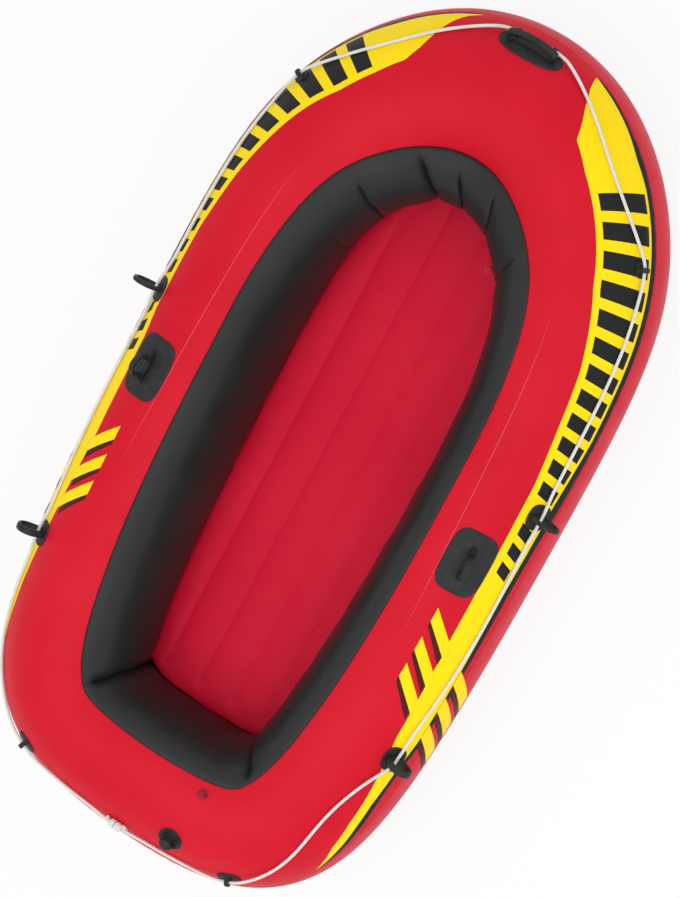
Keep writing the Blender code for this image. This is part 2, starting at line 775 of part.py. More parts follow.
def build_screw_valve(hull, top, looks):
    """The screw valve: welded base, screw-in insert with its flap, seals, cap and tether."""
    seat = Seat(length_at(screw_valve_x, 0), screw_valve_angle, (valve_flange_radius,) * 2, hull)
    frame = seat.rigid()
    bore = throat_radius - throat_wall
    root = throat_radius + valve_flange_root
    base = [
        (throat_radius, 0), (root, 0), (valve_flange_radius, 0), (valve_flange_radius, valve_flange_thick),
        (root, valve_flange_thick), (throat_radius, valve_flange_thick + valve_flange_fillet),
        (throat_radius, throat_rise), (bore, throat_rise), (bore, -throat_depth),
        (throat_radius, -throat_depth),
    ]
    shape = draped_flange(seat, throat_radius + valve_flange_root / 2, turned(base))
    rigid_piece("valve_base", shape, frame, looks["fitting"])
    skin_hole("valve_base_hole", frame, throat_radius + 3 * gap, top, looks["red"])

    seal_low = throat_rise + gap
    collar_low = seal_low + seal_thick + gap
    collar_high = collar_low + insert_collar_thick
    neck_high = collar_high + insert_neck_height
    seal = [(bore + gap, seal_low), (throat_radius, seal_low), (throat_radius, seal_low + seal_thick),
            (bore + gap, seal_low + seal_thick)]
    rigid_piece("valve_insert_seal", turned(seal), frame, looks["fitting"])

    outside = bore - gap
    inside = outside - insert_wall
    low = -throat_depth
    insert = [
        (inside, low), (outside, low), (outside, collar_low), (insert_collar_radius, collar_low),
        (insert_collar_radius, collar_high), (insert_neck_radius, collar_high),
        (insert_neck_radius, neck_high), (inside, neck_high),
    ]
    body = rigid_piece("valve_insert", turned(insert), frame, looks["fitting"])
    hub_radius = flap_stem_radius + flap_hub_clearance + insert_spoke
    hub_low, hub_high = low + weld_inset, low + insert_grid_thick
    hub = [(flap_stem_radius + flap_hub_clearance, hub_low), (hub_radius, hub_low),
           (hub_radius, hub_high), (flap_stem_radius + flap_hub_clearance, hub_high)]
    cut(body, rigid_piece("valve_hub", turned(hub), frame, looks["fitting"]), "UNION")
    for number in range(3):
        turn = Matrix.Rotation(2 * math.pi * number / 3, 4, "Z")
        half = insert_spoke / 2
        shape = block(
            (hub_radius - weld_lap, -half, hub_low + weld_inset),
            (inside + weld_lap, half, hub_high - weld_inset),
        )
        spoke = rigid_piece(f"valve_spoke_{number + 1}", shape, frame @ turn, looks["fitting"])
        cut(body, spoke, "UNION")

    flap_top = low - gap
    flap_edge = inside + flap_lap
    head = hub_high + flap_stem_out
    flap = [
        (0, flap_top - flap_thick), (flap_edge, flap_top - flap_thick), (flap_edge, flap_top),
        (flap_stem_radius, flap_top), (flap_stem_radius, head), (0, head),
    ]
    rigid_piece("valve_flap", solid_turned(flap), frame, looks["fitting"])

    cap_inside = insert_neck_radius + gap
    cap_outside = cap_inside + cap_wall
    ring_low = collar_high + gap
    ring_high = ring_low + tether_ring_thick
    cap_seal_low = neck_high + gap
    cap_seal_edge = insert_neck_radius - seal_inset
    cap_seal = [(0, cap_seal_low), (cap_seal_edge, cap_seal_low),
                (cap_seal_edge, cap_seal_low + seal_thick), (0, cap_seal_low + seal_thick)]
    rigid_piece("valve_cap_seal", solid_turned(cap_seal), frame, looks["fitting"])
    cap_low = ring_high + gap
    cap_ceiling = cap_seal_low + seal_thick + gap
    cap_high = cap_ceiling + cap_wall
    cap = [
        (0, cap_ceiling), (cap_inside, cap_ceiling), (cap_inside, cap_low), (cap_outside, cap_low),
        (cap_outside, cap_high - cap_bevel), (cap_outside - cap_bevel, cap_high), (0, cap_high),
    ]
    rigid_piece("valve_cap", solid_turned(cap), frame, looks["fitting"])

    def tether_hoop(name, inner, outer, low):
        high = low + tether_ring_thick
        profile = [(inner, low), (outer, low), (outer, high), (inner, high)]
        return rigid_piece(name, turned(profile), frame, looks["fitting"])

    ring_outside = insert_neck_radius + tether_ring_wall
    strap = tether_hoop("valve_tether", insert_neck_radius + gap, ring_outside, ring_low)
    hoop_low = cap_high - tether_hoop_drop
    hoop_high = hoop_low + tether_ring_thick
    hoop_out = cap_outside + tether_ring_wall
    hoop = tether_hoop("valve_tether_hoop", cap_outside + gap, hoop_out, hoop_low)
    cut(strap, hoop, "UNION")
    far = hoop_out + tether_reach
    fold = far - tether_ring_thick
    near_low, near_high = ring_outside - weld_lap, hoop_out - weld_lap
    outline = [
        (near_low, ring_low + weld_inset), (far, ring_low + weld_inset),
        (far, hoop_high - weld_inset), (near_high, hoop_high - weld_inset),
        (near_high, hoop_low + weld_inset), (fold, hoop_low + weld_inset),
        (fold, ring_high - weld_inset), (near_low, ring_high - weld_inset),
    ]
    n = len(outline)
    points = [(x, y, z) for y in (-tether_half_width, tether_half_width) for x, z in outline]
    faces = [tuple(range(n)), tuple(range(n, 2 * n))] + sides(list(range(n)), list(range(n, 2 * n)))
    cut(strap, rigid_piece("valve_tether_link", (points, faces), frame, looks["fitting"]), "UNION")


def build_oral_valve(name, frame, target, look):
    """A push-in mouth valve: a flanged stem through the sheet, and a plug on a side hinge."""
    stem = [
        (oral_bore_radius, -oral_depth), (oral_stem_radius, -oral_depth), (oral_stem_radius, 0),
        (oral_flange_radius, 0), (oral_flange_radius, oral_flange_thick),
        (oral_stem_radius, oral_flange_thick), (oral_stem_radius, oral_rise), (oral_bore_radius, oral_rise),
    ]
    body = rigid_piece(name + "_stem", turned(stem), frame, look)
    pivot = Vector((plug_hinge_reach, 0, oral_rise + gap + plug_disc_thick / 2))
    for side in (-1, 1):
        near = side * (plug_arm_half + gap)
        far = near + side * plug_ear_thick
        low = (pivot.x - plug_hinge_half, min(near, far), oral_flange_thick - weld_lap)
        high = (pivot.x + plug_hinge_half, max(near, far), pivot.z + plug_hinge_half)
        word = "left" if side > 0 else "right"
        cut(body, rigid_piece(f"{name}_ear_{word}", block(low, high), frame, look), "UNION")
    skin_hole(name + "_hole", frame, oral_stem_radius + 3 * gap, target, look)

    hinge = frame @ Matrix.Translation(pivot)
    half = plug_disc_thick / 2
    plug = [
        (0, -half - plug_pin_length), (plug_pin_tip, -half - plug_pin_length), (plug_pin_radius, -half),
        (plug_disc_radius, -half), (plug_disc_radius, half), (0, half),
    ]
    points, faces = solid_turned(plug)
    points = [(x - plug_hinge_reach, y, z) for x, y, z in points]
    made = rigid_piece(name + "_plug", (points, faces), hinge, look)
    arm = block(
        (plug_disc_radius - 2 * weld_lap - plug_hinge_reach, -plug_arm_half, weld_inset - half),
        (half, plug_arm_half, half - weld_inset),
    )
    cut(made, rigid_piece(name + "_arm", arm, hinge, look), "UNION")


def build_valves(hull, top, looks):
    build_screw_valve(hull, top, looks)
    reach = (oral_flange_radius,) * 2
    seat = Seat(length_at(oral_chamber_x, 0), oral_chamber_angle, reach, hull)
    build_oral_valve("chamber_valve", seat.rigid(), top, looks["red"])
    x, y = oral_floor_place
    frame = Matrix.Translation((x, y, floor_height + gap))
    build_oral_valve("floor_valve", frame, bpy.data.objects["floor_top_sheet"], looks["floor_red"])


# Grab rope

# Tube angle of the rope halfway between its holds, from the bow handle to the stern knot
rope_middles_starboard = (37, 49.5, 54, 30, 47)
rope_middles_port = (37, 50, 54, 55, 47)
knot_angle = 44
knot_taper = 0.75
knot_sides = 10


def rope_lengths(stops):
    """Where along the path the rope's points go: close about each hold, then one at each station."""
    lengths = list(np.linspace(0, stops[0][3], 4)) + [stops[0][3] + rope_near]
    for stop in stops[1:-1]:
        lengths += [stop[0] + reach for reach in (-rope_near, -stop[3], stop[3], rope_near)]
    lengths += [stops[-1][0] - rope_near, stops[-1][0]]
    held = np.array(lengths)
    for length in np.interp(station_u, fine_u, fine_length):
        if stops[0][3] < length < stops[-1][0] and np.abs(held - length).min() > rope_near:
            lengths.append(length)
    return sorted(lengths)


def rope_route(handle, holds, middles):
    """Points along one half of the rope, as (path length, tube angle, height)."""
    rest = rope_radius + rope_rest
    end = path_length / 2 - knot_half_length - 2 * gap
    stops = [handle] + sorted(holds) + [(end, knot_angle, knot_radius + rope_rest, 0.0)]
    points = []
    for length in rope_lengths(stops):
        rise = 0.0
        for place, angle, height, straight in stops:
            past = max(0.0, abs(length - place) - straight)
            rise = max(rise, (height - rest) * math.exp(-((past / rope_rise_reach) ** 2)))
        number = sum(length >= stop[0] for stop in stops[1:-1])
        a, b = stops[number], stops[number + 1]
        share = min(1.0, max(0.0, (length - a[0] - a[3]) / (b[0] - b[3] - a[0] - a[3])))
        sag = middles[number] - (a[1] + b[1]) / 2
        angle = a[1] + (b[1] - a[1]) * share + sag * math.sin(math.pi * share)
        points.append((length, angle, rest + rise))
    return points


def hull_point(length, angle, height):
    wrapped = length % path_length
    place = np.array([np.interp(wrapped, fine_length, fine_path[:, k]) for k in (0, 1)])
    out = np.array([np.interp(wrapped, fine_length, fine_normal[:, k]) for k in (0, 1)])
    turn = math.radians(angle)
    radius = tube_radius + height
    return (*(place + radius * math.sin(turn) * out), tube_height + radius * math.cos(turn))


def build_rope(handle, holds, looks):
    """The grab rope as one tube all round the boat, and the knot that joins its ends."""
    starboard = rope_route(handle, holds, rope_middles_starboard)
    port = rope_route(handle, holds, rope_middles_port)[:0:-1]
    port = [(-length, angle, height) for length, angle, height in port]
    route = [hull_point(*p) for p in port + starboard]
    curve = bpy.data.curves.new("grab_rope", "CURVE")
    curve.dimensions = "3D"
    curve.bevel_depth = rope_radius
    curve.bevel_resolution = 2
    curve.use_fill_caps = True
    line = curve.splines.new("POLY")
    line.points.add(len(route) - 1)
    for point, place in zip(line.points, route):
        point.co = (*place, 1.0)
    curve.materials.append(looks["rope"])
    rope = bpy.data.objects.new("grab_rope", curve)
    bpy.context.scene.collection.objects.link(rope)

    shares = np.linspace(-1, 1, 7)
    profile = [(share, math.sqrt(1 - knot_taper * share * share)) for share in shares]
    count = knot_sides
    points, faces = [], []
    for share, wide in profile:
        for i in range(count):
            turn = 2 * math.pi * i / count
            y = knot_radius * wide * math.cos(turn)
            z = knot_radius * wide * math.sin(turn)
            length = path_length / 2 + knot_half_length * share
            angle = knot_angle + math.degrees(y / tube_radius)
            points.append(hull_point(length, angle, knot_radius + rope_rest + z))
    for k in range(len(profile) - 1):
        for i in range(count):
            j = (i + 1) % count
            faces.append((k * count + i, k * count + j, (k + 1) * count + j, (k + 1) * count + i))
    faces += [tuple(range(count)), tuple(range(len(points) - count, len(points)))]
    mesh_object("rope_knot", points, faces, looks["rope"])


def main():
    clear_scene()
    looks = {
        "red": material("red_vinyl", "d81d38", 0.38, 0.2),
        "dark_red": material("lower_red_vinyl", "cc2a3d", 0.42, 0.1),
        "floor_red": material("floor_red_vinyl", "b81c33", 0.45, 0.1),
        "black": material("black_vinyl", "2b2d2c", 0.45, 0.1),
        "fitting": material("black_moulded_vinyl", "262829", 0.5),
        "rope": material("white_rope", "eceae6", 0.8),
    }
    top = build_hull(looks)
    build_floor(looks)
    hull = BVHTree.FromPolygons([v.co for v in top.data.vertices], [p.vertices for p in top.data.polygons])
    holds = build_fittings(hull, looks)
    handle = build_handle(hull, looks)
    build_valves(hull, top, looks)
    build_rope(handle, holds, looks)


main()
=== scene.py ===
import json
import math

import bmesh
import bpy
import numpy as np
from mathutils import Matrix


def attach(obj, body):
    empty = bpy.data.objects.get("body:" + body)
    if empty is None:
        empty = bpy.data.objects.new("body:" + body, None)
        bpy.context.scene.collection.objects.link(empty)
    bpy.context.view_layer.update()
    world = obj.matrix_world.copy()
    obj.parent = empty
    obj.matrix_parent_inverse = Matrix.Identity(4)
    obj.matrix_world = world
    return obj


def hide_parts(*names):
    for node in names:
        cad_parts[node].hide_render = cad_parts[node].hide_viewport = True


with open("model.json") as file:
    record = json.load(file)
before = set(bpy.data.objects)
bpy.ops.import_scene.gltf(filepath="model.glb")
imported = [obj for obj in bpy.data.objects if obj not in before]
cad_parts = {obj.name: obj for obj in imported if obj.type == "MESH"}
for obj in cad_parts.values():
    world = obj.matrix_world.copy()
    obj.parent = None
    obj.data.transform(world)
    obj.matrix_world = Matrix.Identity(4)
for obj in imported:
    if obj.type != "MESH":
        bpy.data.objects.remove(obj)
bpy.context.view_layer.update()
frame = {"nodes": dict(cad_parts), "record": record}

# Two-person inflatable rowing boat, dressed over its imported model. +Y is the bow, +X starboard.
# Sizes are millimetres, which laySurface and the materials turn to metres, but the camera and the
# studio are in metres. A place on the hull is (length, angle): length runs along the tube's axis
# from the bow, starboard first, and angle is degrees round the tube, 0 at its top and 90 outside.
mm = 0.001
sides = ((1, "Starboard"), (-1, "Port"))
jointRows = {row["name"]: row for row in frame["record"]["behaviour"]["joints"]}

# Camera: turned from the bow to starboard, tilted from straight above, then rolled
cameraView = {
    "turn": 47.335, "tilt": 19.293, "roll": 28.208, "distance": 5.223, "lookAt": (0, 0, 0.15),
    "focalPixels": 2463.6, "shiftPixels": (-3.1, -1.8), "pictureHeight": 897, "filmHeight": 36,
}


def pick(table, names):
    return [table[name] for name in names.split()]


def unit(vectors):
    # each vector divided by its length
    return vectors / np.linalg.norm(vectors, axis=-1, keepdims=True)


def turnsOf(count):
    # evenly spaced angles of one full turn, in radians
    return np.linspace(0, 2 * math.pi, count + 1)[:-1]


def addObject(name, data):
    made = bpy.data.objects.new(name, data)
    bpy.context.scene.collection.objects.link(made)
    return made


def levelAxes(back):
    # right and up of something that looks along -back without a roll
    right = unit(np.cross((0, 1, 0), back))
    return right, np.cross(back, right)


def setAxes(made, right, up, back, place):
    matrix = np.eye(4)
    matrix[:3] = np.column_stack([right, up, back, place])
    made.matrix_world = Matrix(matrix.tolist())


def setCamera():
    turn, tilt, roll = np.radians(pick(cameraView, "turn tilt roll"))
    distance, lookAt, focal, height, film = pick(
        cameraView, "distance lookAt focalPixels pictureHeight filmHeight")
    level = math.sin(tilt)
    back = np.array([level * math.sin(turn), level * math.cos(turn), math.cos(tilt)])
    right, up = levelAxes(back)
    data = bpy.data.cameras.new("photoCamera")
    data.sensor_fit = "VERTICAL"
    data.sensor_height = film
    data.lens = focal * film / height
    data.shift_x = -cameraView["shiftPixels"][0] / height
    data.shift_y = cameraView["shiftPixels"][1] / height
    camera = addObject("photoCamera", data)
    setAxes(camera, math.cos(roll) * right + math.sin(roll) * up,
            math.cos(roll) * up - math.sin(roll) * right, back, np.array(lookAt) + back * distance)
    bpy.context.scene.camera = camera


setCamera()
print("camera set")


# Materials

def linear(code):
    # sRGB hex to linear: c/12.92 below 0.04045, else ((c + 0.055)/1.055)^2.4
    parts = [int(code[i:i + 2], 16) / 255 for i in (0, 2, 4)]
    return [c / 12.92 if c <= 0.04045 else ((c + 0.055) / 1.055) ** 2.4 for c in parts] + [1.0]


def brighten(colour, factor, more=0.0):
    return [min(1.0, c * factor + more) for c in colour[:3]] + [1.0]


def setInputs(tree, node, inputs):
    # an input that is a socket is linked, any other is set
    for key, value in inputs.items():
        if isinstance(value, bpy.types.NodeSocket):
            tree.links.new(value, node.inputs[key])
        else:
            node.inputs[key].default_value = value


def addNode(tree, kind, inputs, **settings):
    node = tree.nodes.new("ShaderNode" + kind)
    for key, value in settings.items():
        setattr(node, key, value)
    setInputs(tree, node, inputs)
    return node


def addTexture(tree, kind, **inputs):
    # a texture laid by the object's own coordinates
    place = addNode(tree, "TexCoord", {}).outputs["Object"]
    return addNode(tree, kind, {"Vector": place} | inputs)


def addMath(tree, operation, first, second, **settings):
    return addNode(tree, "Math", {0: first, 1: second}, operation=operation, **settings).outputs[0]


def mapRange(tree, value, fromLow, fromHigh, toLow=0.0, toHigh=1.0):
    ends = {"From Min": fromLow, "From Max": fromHigh, "To Min": toLow, "To Max": toHigh}
    return addNode(tree, "MapRange", {"Value": value} | ends).outputs["Result"]


def mixColours(tree, share, low, high):
    inputs = {"Factor": share, "A": low, "B": high}
    return addNode(tree, "Mix", inputs, data_type="RGBA").outputs["Result"]


def addBump(tree, height, distance, **under):
    inputs = {"Height": height, "Strength": 1.0, "Distance": distance * mm} | under
    return addNode(tree, "Bump", inputs).outputs["Normal"]


def startMaterial(name):
    made = bpy.data.materials.new(name)
    made.use_nodes = True
    return made, made.node_tree, made.node_tree.nodes["Principled BSDF"]


def vinylSheet(name, code, roughness, specular, tint=0.05, wrinkle=1.2):
    # Calendered PVC sheet: smooth from the roller, so broad soft gloss, a fine orange-peel grain
    # about 1 mm across (drawn 2.2 mm across so that it shows), slow wrinkles from the air pressure,
    # and a colour that thins a little where the sheet is stretched.
    grain = 2.2
    made, tree, shader = startMaterial(name)
    peel = addTexture(tree, "TexNoise", Scale=1 / (grain * mm), Detail=3.0).outputs["Fac"]
    slow = addTexture(tree, "TexNoise", Scale=14.0, Detail=4.0, Distortion=0.6).outputs["Fac"]
    cloud = addTexture(tree, "TexNoise", Scale=3.2, Detail=5.0, Roughness=0.6).outputs["Fac"]
    base = linear(code)
    deep, pale = brighten(base, 1 - tint), brighten(base, 1 + tint, 0.004)
    setInputs(tree, shader, {
        "Base Color": mixColours(tree, mapRange(tree, cloud, 0.3, 0.7), deep, pale),
        "Roughness": mapRange(tree, slow, 0.3, 0.7, roughness - 0.05, roughness + 0.06),
        "Normal": addBump(tree, peel, grain * 0.025, Normal=addBump(tree, slow, wrinkle)),
        "IOR": 1.53, "Specular IOR Level": specular,
    })
    return made


redVinyl = vinylSheet("redVinylSheet", "cd0f27", 0.42, 0.1)
lowerRedVinyl = vinylSheet("lowerRedVinylSheet", "cc2036", 0.45, 0.12)
floorVinyl = vinylSheet("floorVinylSheet", "d81335", 0.5, 0.08, wrinkle=0.8)
blackVinyl = vinylSheet("blackVinylSheet", "232424", 0.4, 0.2, tint=0.1)
yellowInk = vinylSheet("yellowPrintInk", "fcdc0d", 0.4, 0.1, tint=0.02)
# pale red with more gloss: the painted highlight of the weld line's crease
highlightRedVinyl = vinylSheet("pressedRedVinyl", "da3c48", 0.36, 0.3)
blackInk = vinylSheet("blackPrintInk", "1e201f", 0.4, 0.1, tint=0.08)
brownInk = vinylSheet("brownPrintInk", "4a1814", 0.42, 0.1, tint=0.08)
print("sheet materials made")


# Path of the tube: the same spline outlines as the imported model's

hullPlan = {
    "tubeRadius": 166, "halfBeam": 510, "halfLength": 980, "groundFlat": 16, "skin": 0.4,
    "gap": 0.3, "seam": 68, "floorWeld": 204, "innerWeld": 208,
    "sideDeck": 306, "bowDeck": 410, "sternDeck": 314,
    "outline": ((115, 828), (290, 644), (341, 445), (346, 96), (345, -720), (190, -812)),
    "cockpit": ((60, 586), (153, 476), (203, 302), (202, -100), (171, -673), (82, -683)),
}
deckRim = {
    "side": 18, "bow": 54, "bowStart": 180, "bowBlend": 650, "stern": 28.5, "sternBlend": 720,
}
tubeRadius, skin, gap, seam, innerWeld = pick(hullPlan, "tubeRadius skin gap seam innerWeld")
tubeHeight = tubeRadius * math.cos(math.radians(hullPlan["groundFlat"] / 2))


def splinePoints(control, u):
    # closed uniform cubic B-spline: weights (1-t)^3, 3t^3-6t^2+4, -3t^3+3t^2+3t+1, t^3, over 6
    i = np.floor(u).astype(int)
    t = (u - i)[:, None]
    weights = ((1 - t) ** 3, 3 * t**3 - 6 * t**2 + 4, -3 * t**3 + 3 * t**2 + 3 * t + 1, t**3)
    return sum(w * control[(i + k) % len(control)] for w, k in zip(weights, (-1, 0, 1, 2))) / 6


def outlineControl(shape, sideDeck, bowDeck, sternDeck):
    # both sides of the shape, scaled so that its curve lies this far inside the boat's edges
    half = np.array(hullPlan[shape], float)
    both = np.vstack([half, (half * (-1, 1))[::-1]])
    curve = splinePoints(both, np.linspace(-0.5, len(both) - 0.5, 1200))
    low, high = curve[:, 1].min(), curve[:, 1].max()
    bow, stern = hullPlan["halfLength"] - bowDeck, sternDeck - hullPlan["halfLength"]
    both[:, 0] *= (hullPlan["halfBeam"] - sideDeck) / curve[:, 0].max()
    both[:, 1] = stern + (both[:, 1] - low) * (bow - stern) / (high - low)
    return both


hullControl = outlineControl("outline", tubeRadius, tubeRadius, tubeRadius)
cockpitControl = outlineControl("cockpit", *pick(hullPlan, "sideDeck bowDeck sternDeck"))
pathU = np.linspace(-0.5, len(hullControl) - 0.5, 6001)
pathPoint = splinePoints(hullControl, pathU)
cockpitPoint = splinePoints(cockpitControl, pathU)
pathAt = np.r_[0, np.cumsum(np.linalg.norm(np.diff(pathPoint, axis=0), axis=1))]
pathLength = pathAt[-1]
pathTravel = np.gradient(pathPoint, axis=0)
pathTravel[[0, -1]] = pathTravel[1] + pathTravel[-2]
pathTravel = unit(pathTravel)


def onPath(length, table):
    # the table's values where the path has this length, for an array of any shape
    wrapped = np.mod(length, pathLength)
    return np.stack([np.interp(wrapped, pathAt, table[:, k]) for k in range(table.shape[1])], -1)


def pathNormal(length):
    # unit vector out of the boat: the travel turned left, (-travelY, travelX)
    travel = unit(onPath(length, pathTravel))
    return np.stack([-travel[..., 1], travel[..., 0]], -1)


def offTube(length, p, q, r=0.0):
    # centre of the tube + p out of the boat + q up + r along the path
    out = pathNormal(length)
    flat = onPath(length, pathPoint) + np.asarray(p)[..., None] * out
    flat = flat + np.asarray(r)[..., None] * np.stack([out[..., 1], -out[..., 0]], -1)
    return np.concatenate([flat, (tubeHeight + np.broadcast_to(q, flat.shape[:-1]))[..., None]], -1)


def roundTube(length, angle, radius):
    turn = np.radians(angle)
    return offTube(length, radius * np.sin(turn), radius * np.cos(turn))


def deckEdge(length):
    # tube angle of the deck's inner edge: minus side amidships, easing to minus bow and minus stern
    # by the square of the way there
    side, y = deckRim["side"], onPath(length, pathPoint)[..., 1]
    toBow = np.clip((y - deckRim["bowStart"]) / deckRim["bowBlend"], 0, 1) ** 2
    toStern = np.clip(-y / deckRim["sternBlend"], 0, 1) ** 2
    return -(side + (deckRim["bow"] - side) * toBow + (deckRim["stern"] - side) * toStern)


def bell(distance, width):
    # 1 at distance 0, falling as exp(-(distance/width)^2)
    return np.exp(-((distance / width) ** 2))


def stepUp(value, low, high):
    # smooth step: 0 below low, 1 above high, 3t^2 - 2t^3 between
    t = np.clip((value - low) / (high - low), 0, 1)
    return t * t * (3 - 2 * t)


def besidePath(length, place):
    # signed way along the closed path from place to length
    return np.mod(length - place + pathLength / 2, pathLength) - pathLength / 2


# heights and pitches, with the widths of their bells across the tube in degrees
puckers = {
    "seam": 0.45, "seamPitch": 31, "seamWidth": 3.4, "edgeShare": 0.4, "edgeWidth": 2.5,
    "welt": 0.6, "weltWidth": 0.8, "bead": 0.7, "beadWidth": 0.7, "beadAngle": 0.8,
    "swell": 0.5, "swellPitch": 190, "swellWidth": 30, "swellAngle": 22,
}


def hullRelief(length, angle):
    # welt and puckers at the seam, a bead and fewer puckers at the deck's edge, and a slow swell:
    # sums of bells across the tube times sines along it
    size = puckers
    s = length / size["seamPitch"] * 2 * math.pi
    ripple = size["seam"] * np.sin(s + 2 * np.sin(s / 13)) * (0.6 + 0.4 * np.sin(s / 4.7 + 1))
    fromSeam, fromEdge = angle - seam, angle - deckEdge(length)
    height = ripple * bell(fromSeam, size["seamWidth"])
    height += size["welt"] * bell(fromSeam, size["weltWidth"])
    height += size["bead"] * bell(fromEdge - size["beadAngle"], size["beadWidth"])
    height += size["edgeShare"] * ripple * bell(fromEdge, size["edgeWidth"])
    wave = 2 * math.pi * round(pathLength / size["swellPitch"]) * length / pathLength
    cover = bell(angle - size["swellAngle"], size["swellWidth"])
    return height + size["swell"] * np.sin(wave + angle / 19) * cover


def onHull(length, angle, lift=0.0):
    # a point of the tube's dressed surface, lift out of it, never below the ground
    length, angle, lift = np.broadcast_arrays(length, angle, lift)
    points = roundTube(length, angle, tubeRadius + hullRelief(length, angle) + lift)
    points[..., 2] = np.maximum(points[..., 2], 0.0)
    return points


def gridFaces(rows, columns, joinRows, joinColumns):
    index = np.arange(rows * columns).reshape(rows, columns)
    if joinRows:
        index = np.vstack([index, index[:1]])
    if joinColumns:
        index = np.hstack([index, index[:, :1]])
    corners = [index[:-1, :-1], index[1:, :-1], index[1:, 1:], index[:-1, 1:]]
    return np.stack(corners, -1).reshape(-1, 4)


def laySurface(name, points, finish, body="hull", outward=None, joinRows=False, joinColumns=False,
               wall=0.0, holes=(), nodes=(), slot=None, uv=None):
    # Makes a piece from a grid of points. outward gives each point's way out for an open sheet; a
    # closed one has its doubles merged and its normals worked out. wall is a sheet's thickness,
    # inward. holes are (centre, radius). uv gives each point's place on a pattern along the piece.
    faces = gridFaces(*points.shape[:2], joinRows, joinColumns)
    flat = points.reshape(-1, 3)
    for centre, radius in holes:
        faces = faces[(np.linalg.norm(flat[faces] - centre, axis=2) >= radius).any(1)]
    if outward is not None:
        corners = flat[faces]
        normal = np.cross(corners[:, 2] - corners[:, 0], corners[:, 3] - corners[:, 1])
        way = np.broadcast_to(outward, points.shape).reshape(-1, 3)[faces[:, 0]]
        if (normal * way).sum() < 0:
            faces = faces[:, ::-1]
    mesh = bpy.data.meshes.new(name)
    mesh.from_pydata(flat * mm, [], faces)
    if uv is not None:
        mesh.uv_layers.new(name="cordLay").data.foreach_set("uv", uv.reshape(-1, 2)[faces].ravel())
    work = bmesh.new()
    work.from_mesh(mesh)
    bmesh.ops.remove_doubles(work, verts=work.verts, dist=0.02 * mm)
    bmesh.ops.delete(work, geom=[v for v in work.verts if not v.link_faces], context="VERTS")
    if outward is None:
        bmesh.ops.recalc_face_normals(work, faces=work.faces)
    work.to_mesh(mesh)
    work.free()
    mesh.shade_smooth()
    mesh.materials.append(finish)
    made = addObject(name, mesh)
    if wall:
        sheet = made.modifiers.new("sheetThickness", "SOLIDIFY")
        sheet.thickness = wall * mm
        sheet.offset = -1
    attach(made, body)
    if nodes:
        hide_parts(*nodes)


def layOnHull(name, length, angle, finish, lift=0.0, **more):
    points = onHull(length, angle, lift)
    laySurface(name, points, finish, outward=onHull(length, angle, 10) - points, **more)


# Fittings stand on a seat: x runs along the tube to the bow, y up over it, z out of it

seatLift = 0.5


def lengthAt(value, axis):
    # path length where the starboard half passes this y (axis 1), or its stern half this x (axis 0)
    inHalf = (pathAt <= pathLength / 2) & ((axis == 1) | (pathAt > pathLength / 4))
    return float(np.interp(-value, -pathPoint[inHalf, axis], pathAt[inHalf]))


def makeSeat(length, angle):
    # stretch: how far a point on the seat moves per length of path
    before, after = roundTube(np.array([length - 1, length + 1]), angle, tubeRadius)
    return {"length": length, "angle": angle, "stretch": np.linalg.norm(after - before) / 2}


def onSeat(seat, x, y, z, side=1):
    # bent with the hull: length - x/stretch, angle - y/radius, lift z
    length = seat["length"] - x / seat["stretch"]
    return onHull(side * length, seat["angle"] - np.degrees(y / tubeRadius), z + seatLift)


def axesFrom(z, along):
    # columns x, y and z, with x as near to along as it can be
    x = unit(along - z * along.dot(z))
    return np.stack([x, np.cross(z, x), z], 1)


def seatFrame(seat, side=1):
    # straight axes at the seat, and the origin
    length, turn = np.array(seat["length"]), math.radians(seat["angle"])
    normal = pathNormal(length)
    out = np.array([*math.sin(turn) * normal, math.cos(turn)])
    axes = axesFrom(out, np.array([-normal[1], normal[0], 0.0]))
    origin = np.array([*onPath(length, pathPoint), tubeHeight]) + out * (tubeRadius + seatLift)
    mirror = np.array([side, 1, 1])
    return axes * mirror[:, None], origin * mirror


def jointFrame(name):
    row = jointRows[name]
    return np.array(row["pos_m"]) / mm, np.array(row["axis"], float)


def inFrame(axes, origin, x, y, z):
    return np.stack(np.broadcast_arrays(x, y, z), -1) @ axes.T + origin


# Hull: the top sheet from the deck's edge to the seam, and the bottom sheet from there to the
# cockpit. topSeam and bottomSeam are the degrees beside the seam with closer rows, and their count.
hullSheets = {
    "columns": 720, "topRows": 38, "topSeam": (3, 8), "topStep": 0.5,
    "bottomRows": 35, "bottomSeam": (4, 9), "bottomStep": 2.5,
}
oralSeat = makeSeat(lengthAt(152.6, 0), -17.6)
valveHoles = ((jointFrame("cap_turn")[0], 24), (seatFrame(oralSeat)[1], 10.5))


def hullColumns():
    return np.linspace(0, pathLength, hullSheets["columns"] + 1)[:-1]


def makeHull():
    length = hullColumns()[None]
    edge = deckEdge(length)
    topReach, topCount = hullSheets["topSeam"]
    lowReach, lowCount = hullSheets["bottomSeam"]
    share = np.linspace(0, 1, hullSheets["topRows"])[:, None]
    top = np.vstack([
        edge + (seam - topReach - hullSheets["topStep"] - edge) * share,
        np.linspace(seam - topReach, seam, topCount)[:, None] + 0 * length,
    ])
    below = seam + lowReach
    bottom = np.r_[
        np.linspace(seam, below, lowCount),
        np.linspace(below + hullSheets["bottomStep"], innerWeld, hullSheets["bottomRows"]),
    ]
    layOnHull("hullTopSheet", length, top, redVinyl, joinColumns=True, wall=skin, holes=valveHoles,
              nodes=["hull_top_skin"], slot="red_vinyl")
    layOnHull("hullBottomSheet", length, bottom[:, None], lowerRedVinyl, joinColumns=True,
              wall=skin, nodes=["hull_bottom_skin"], slot="lower_red_vinyl")


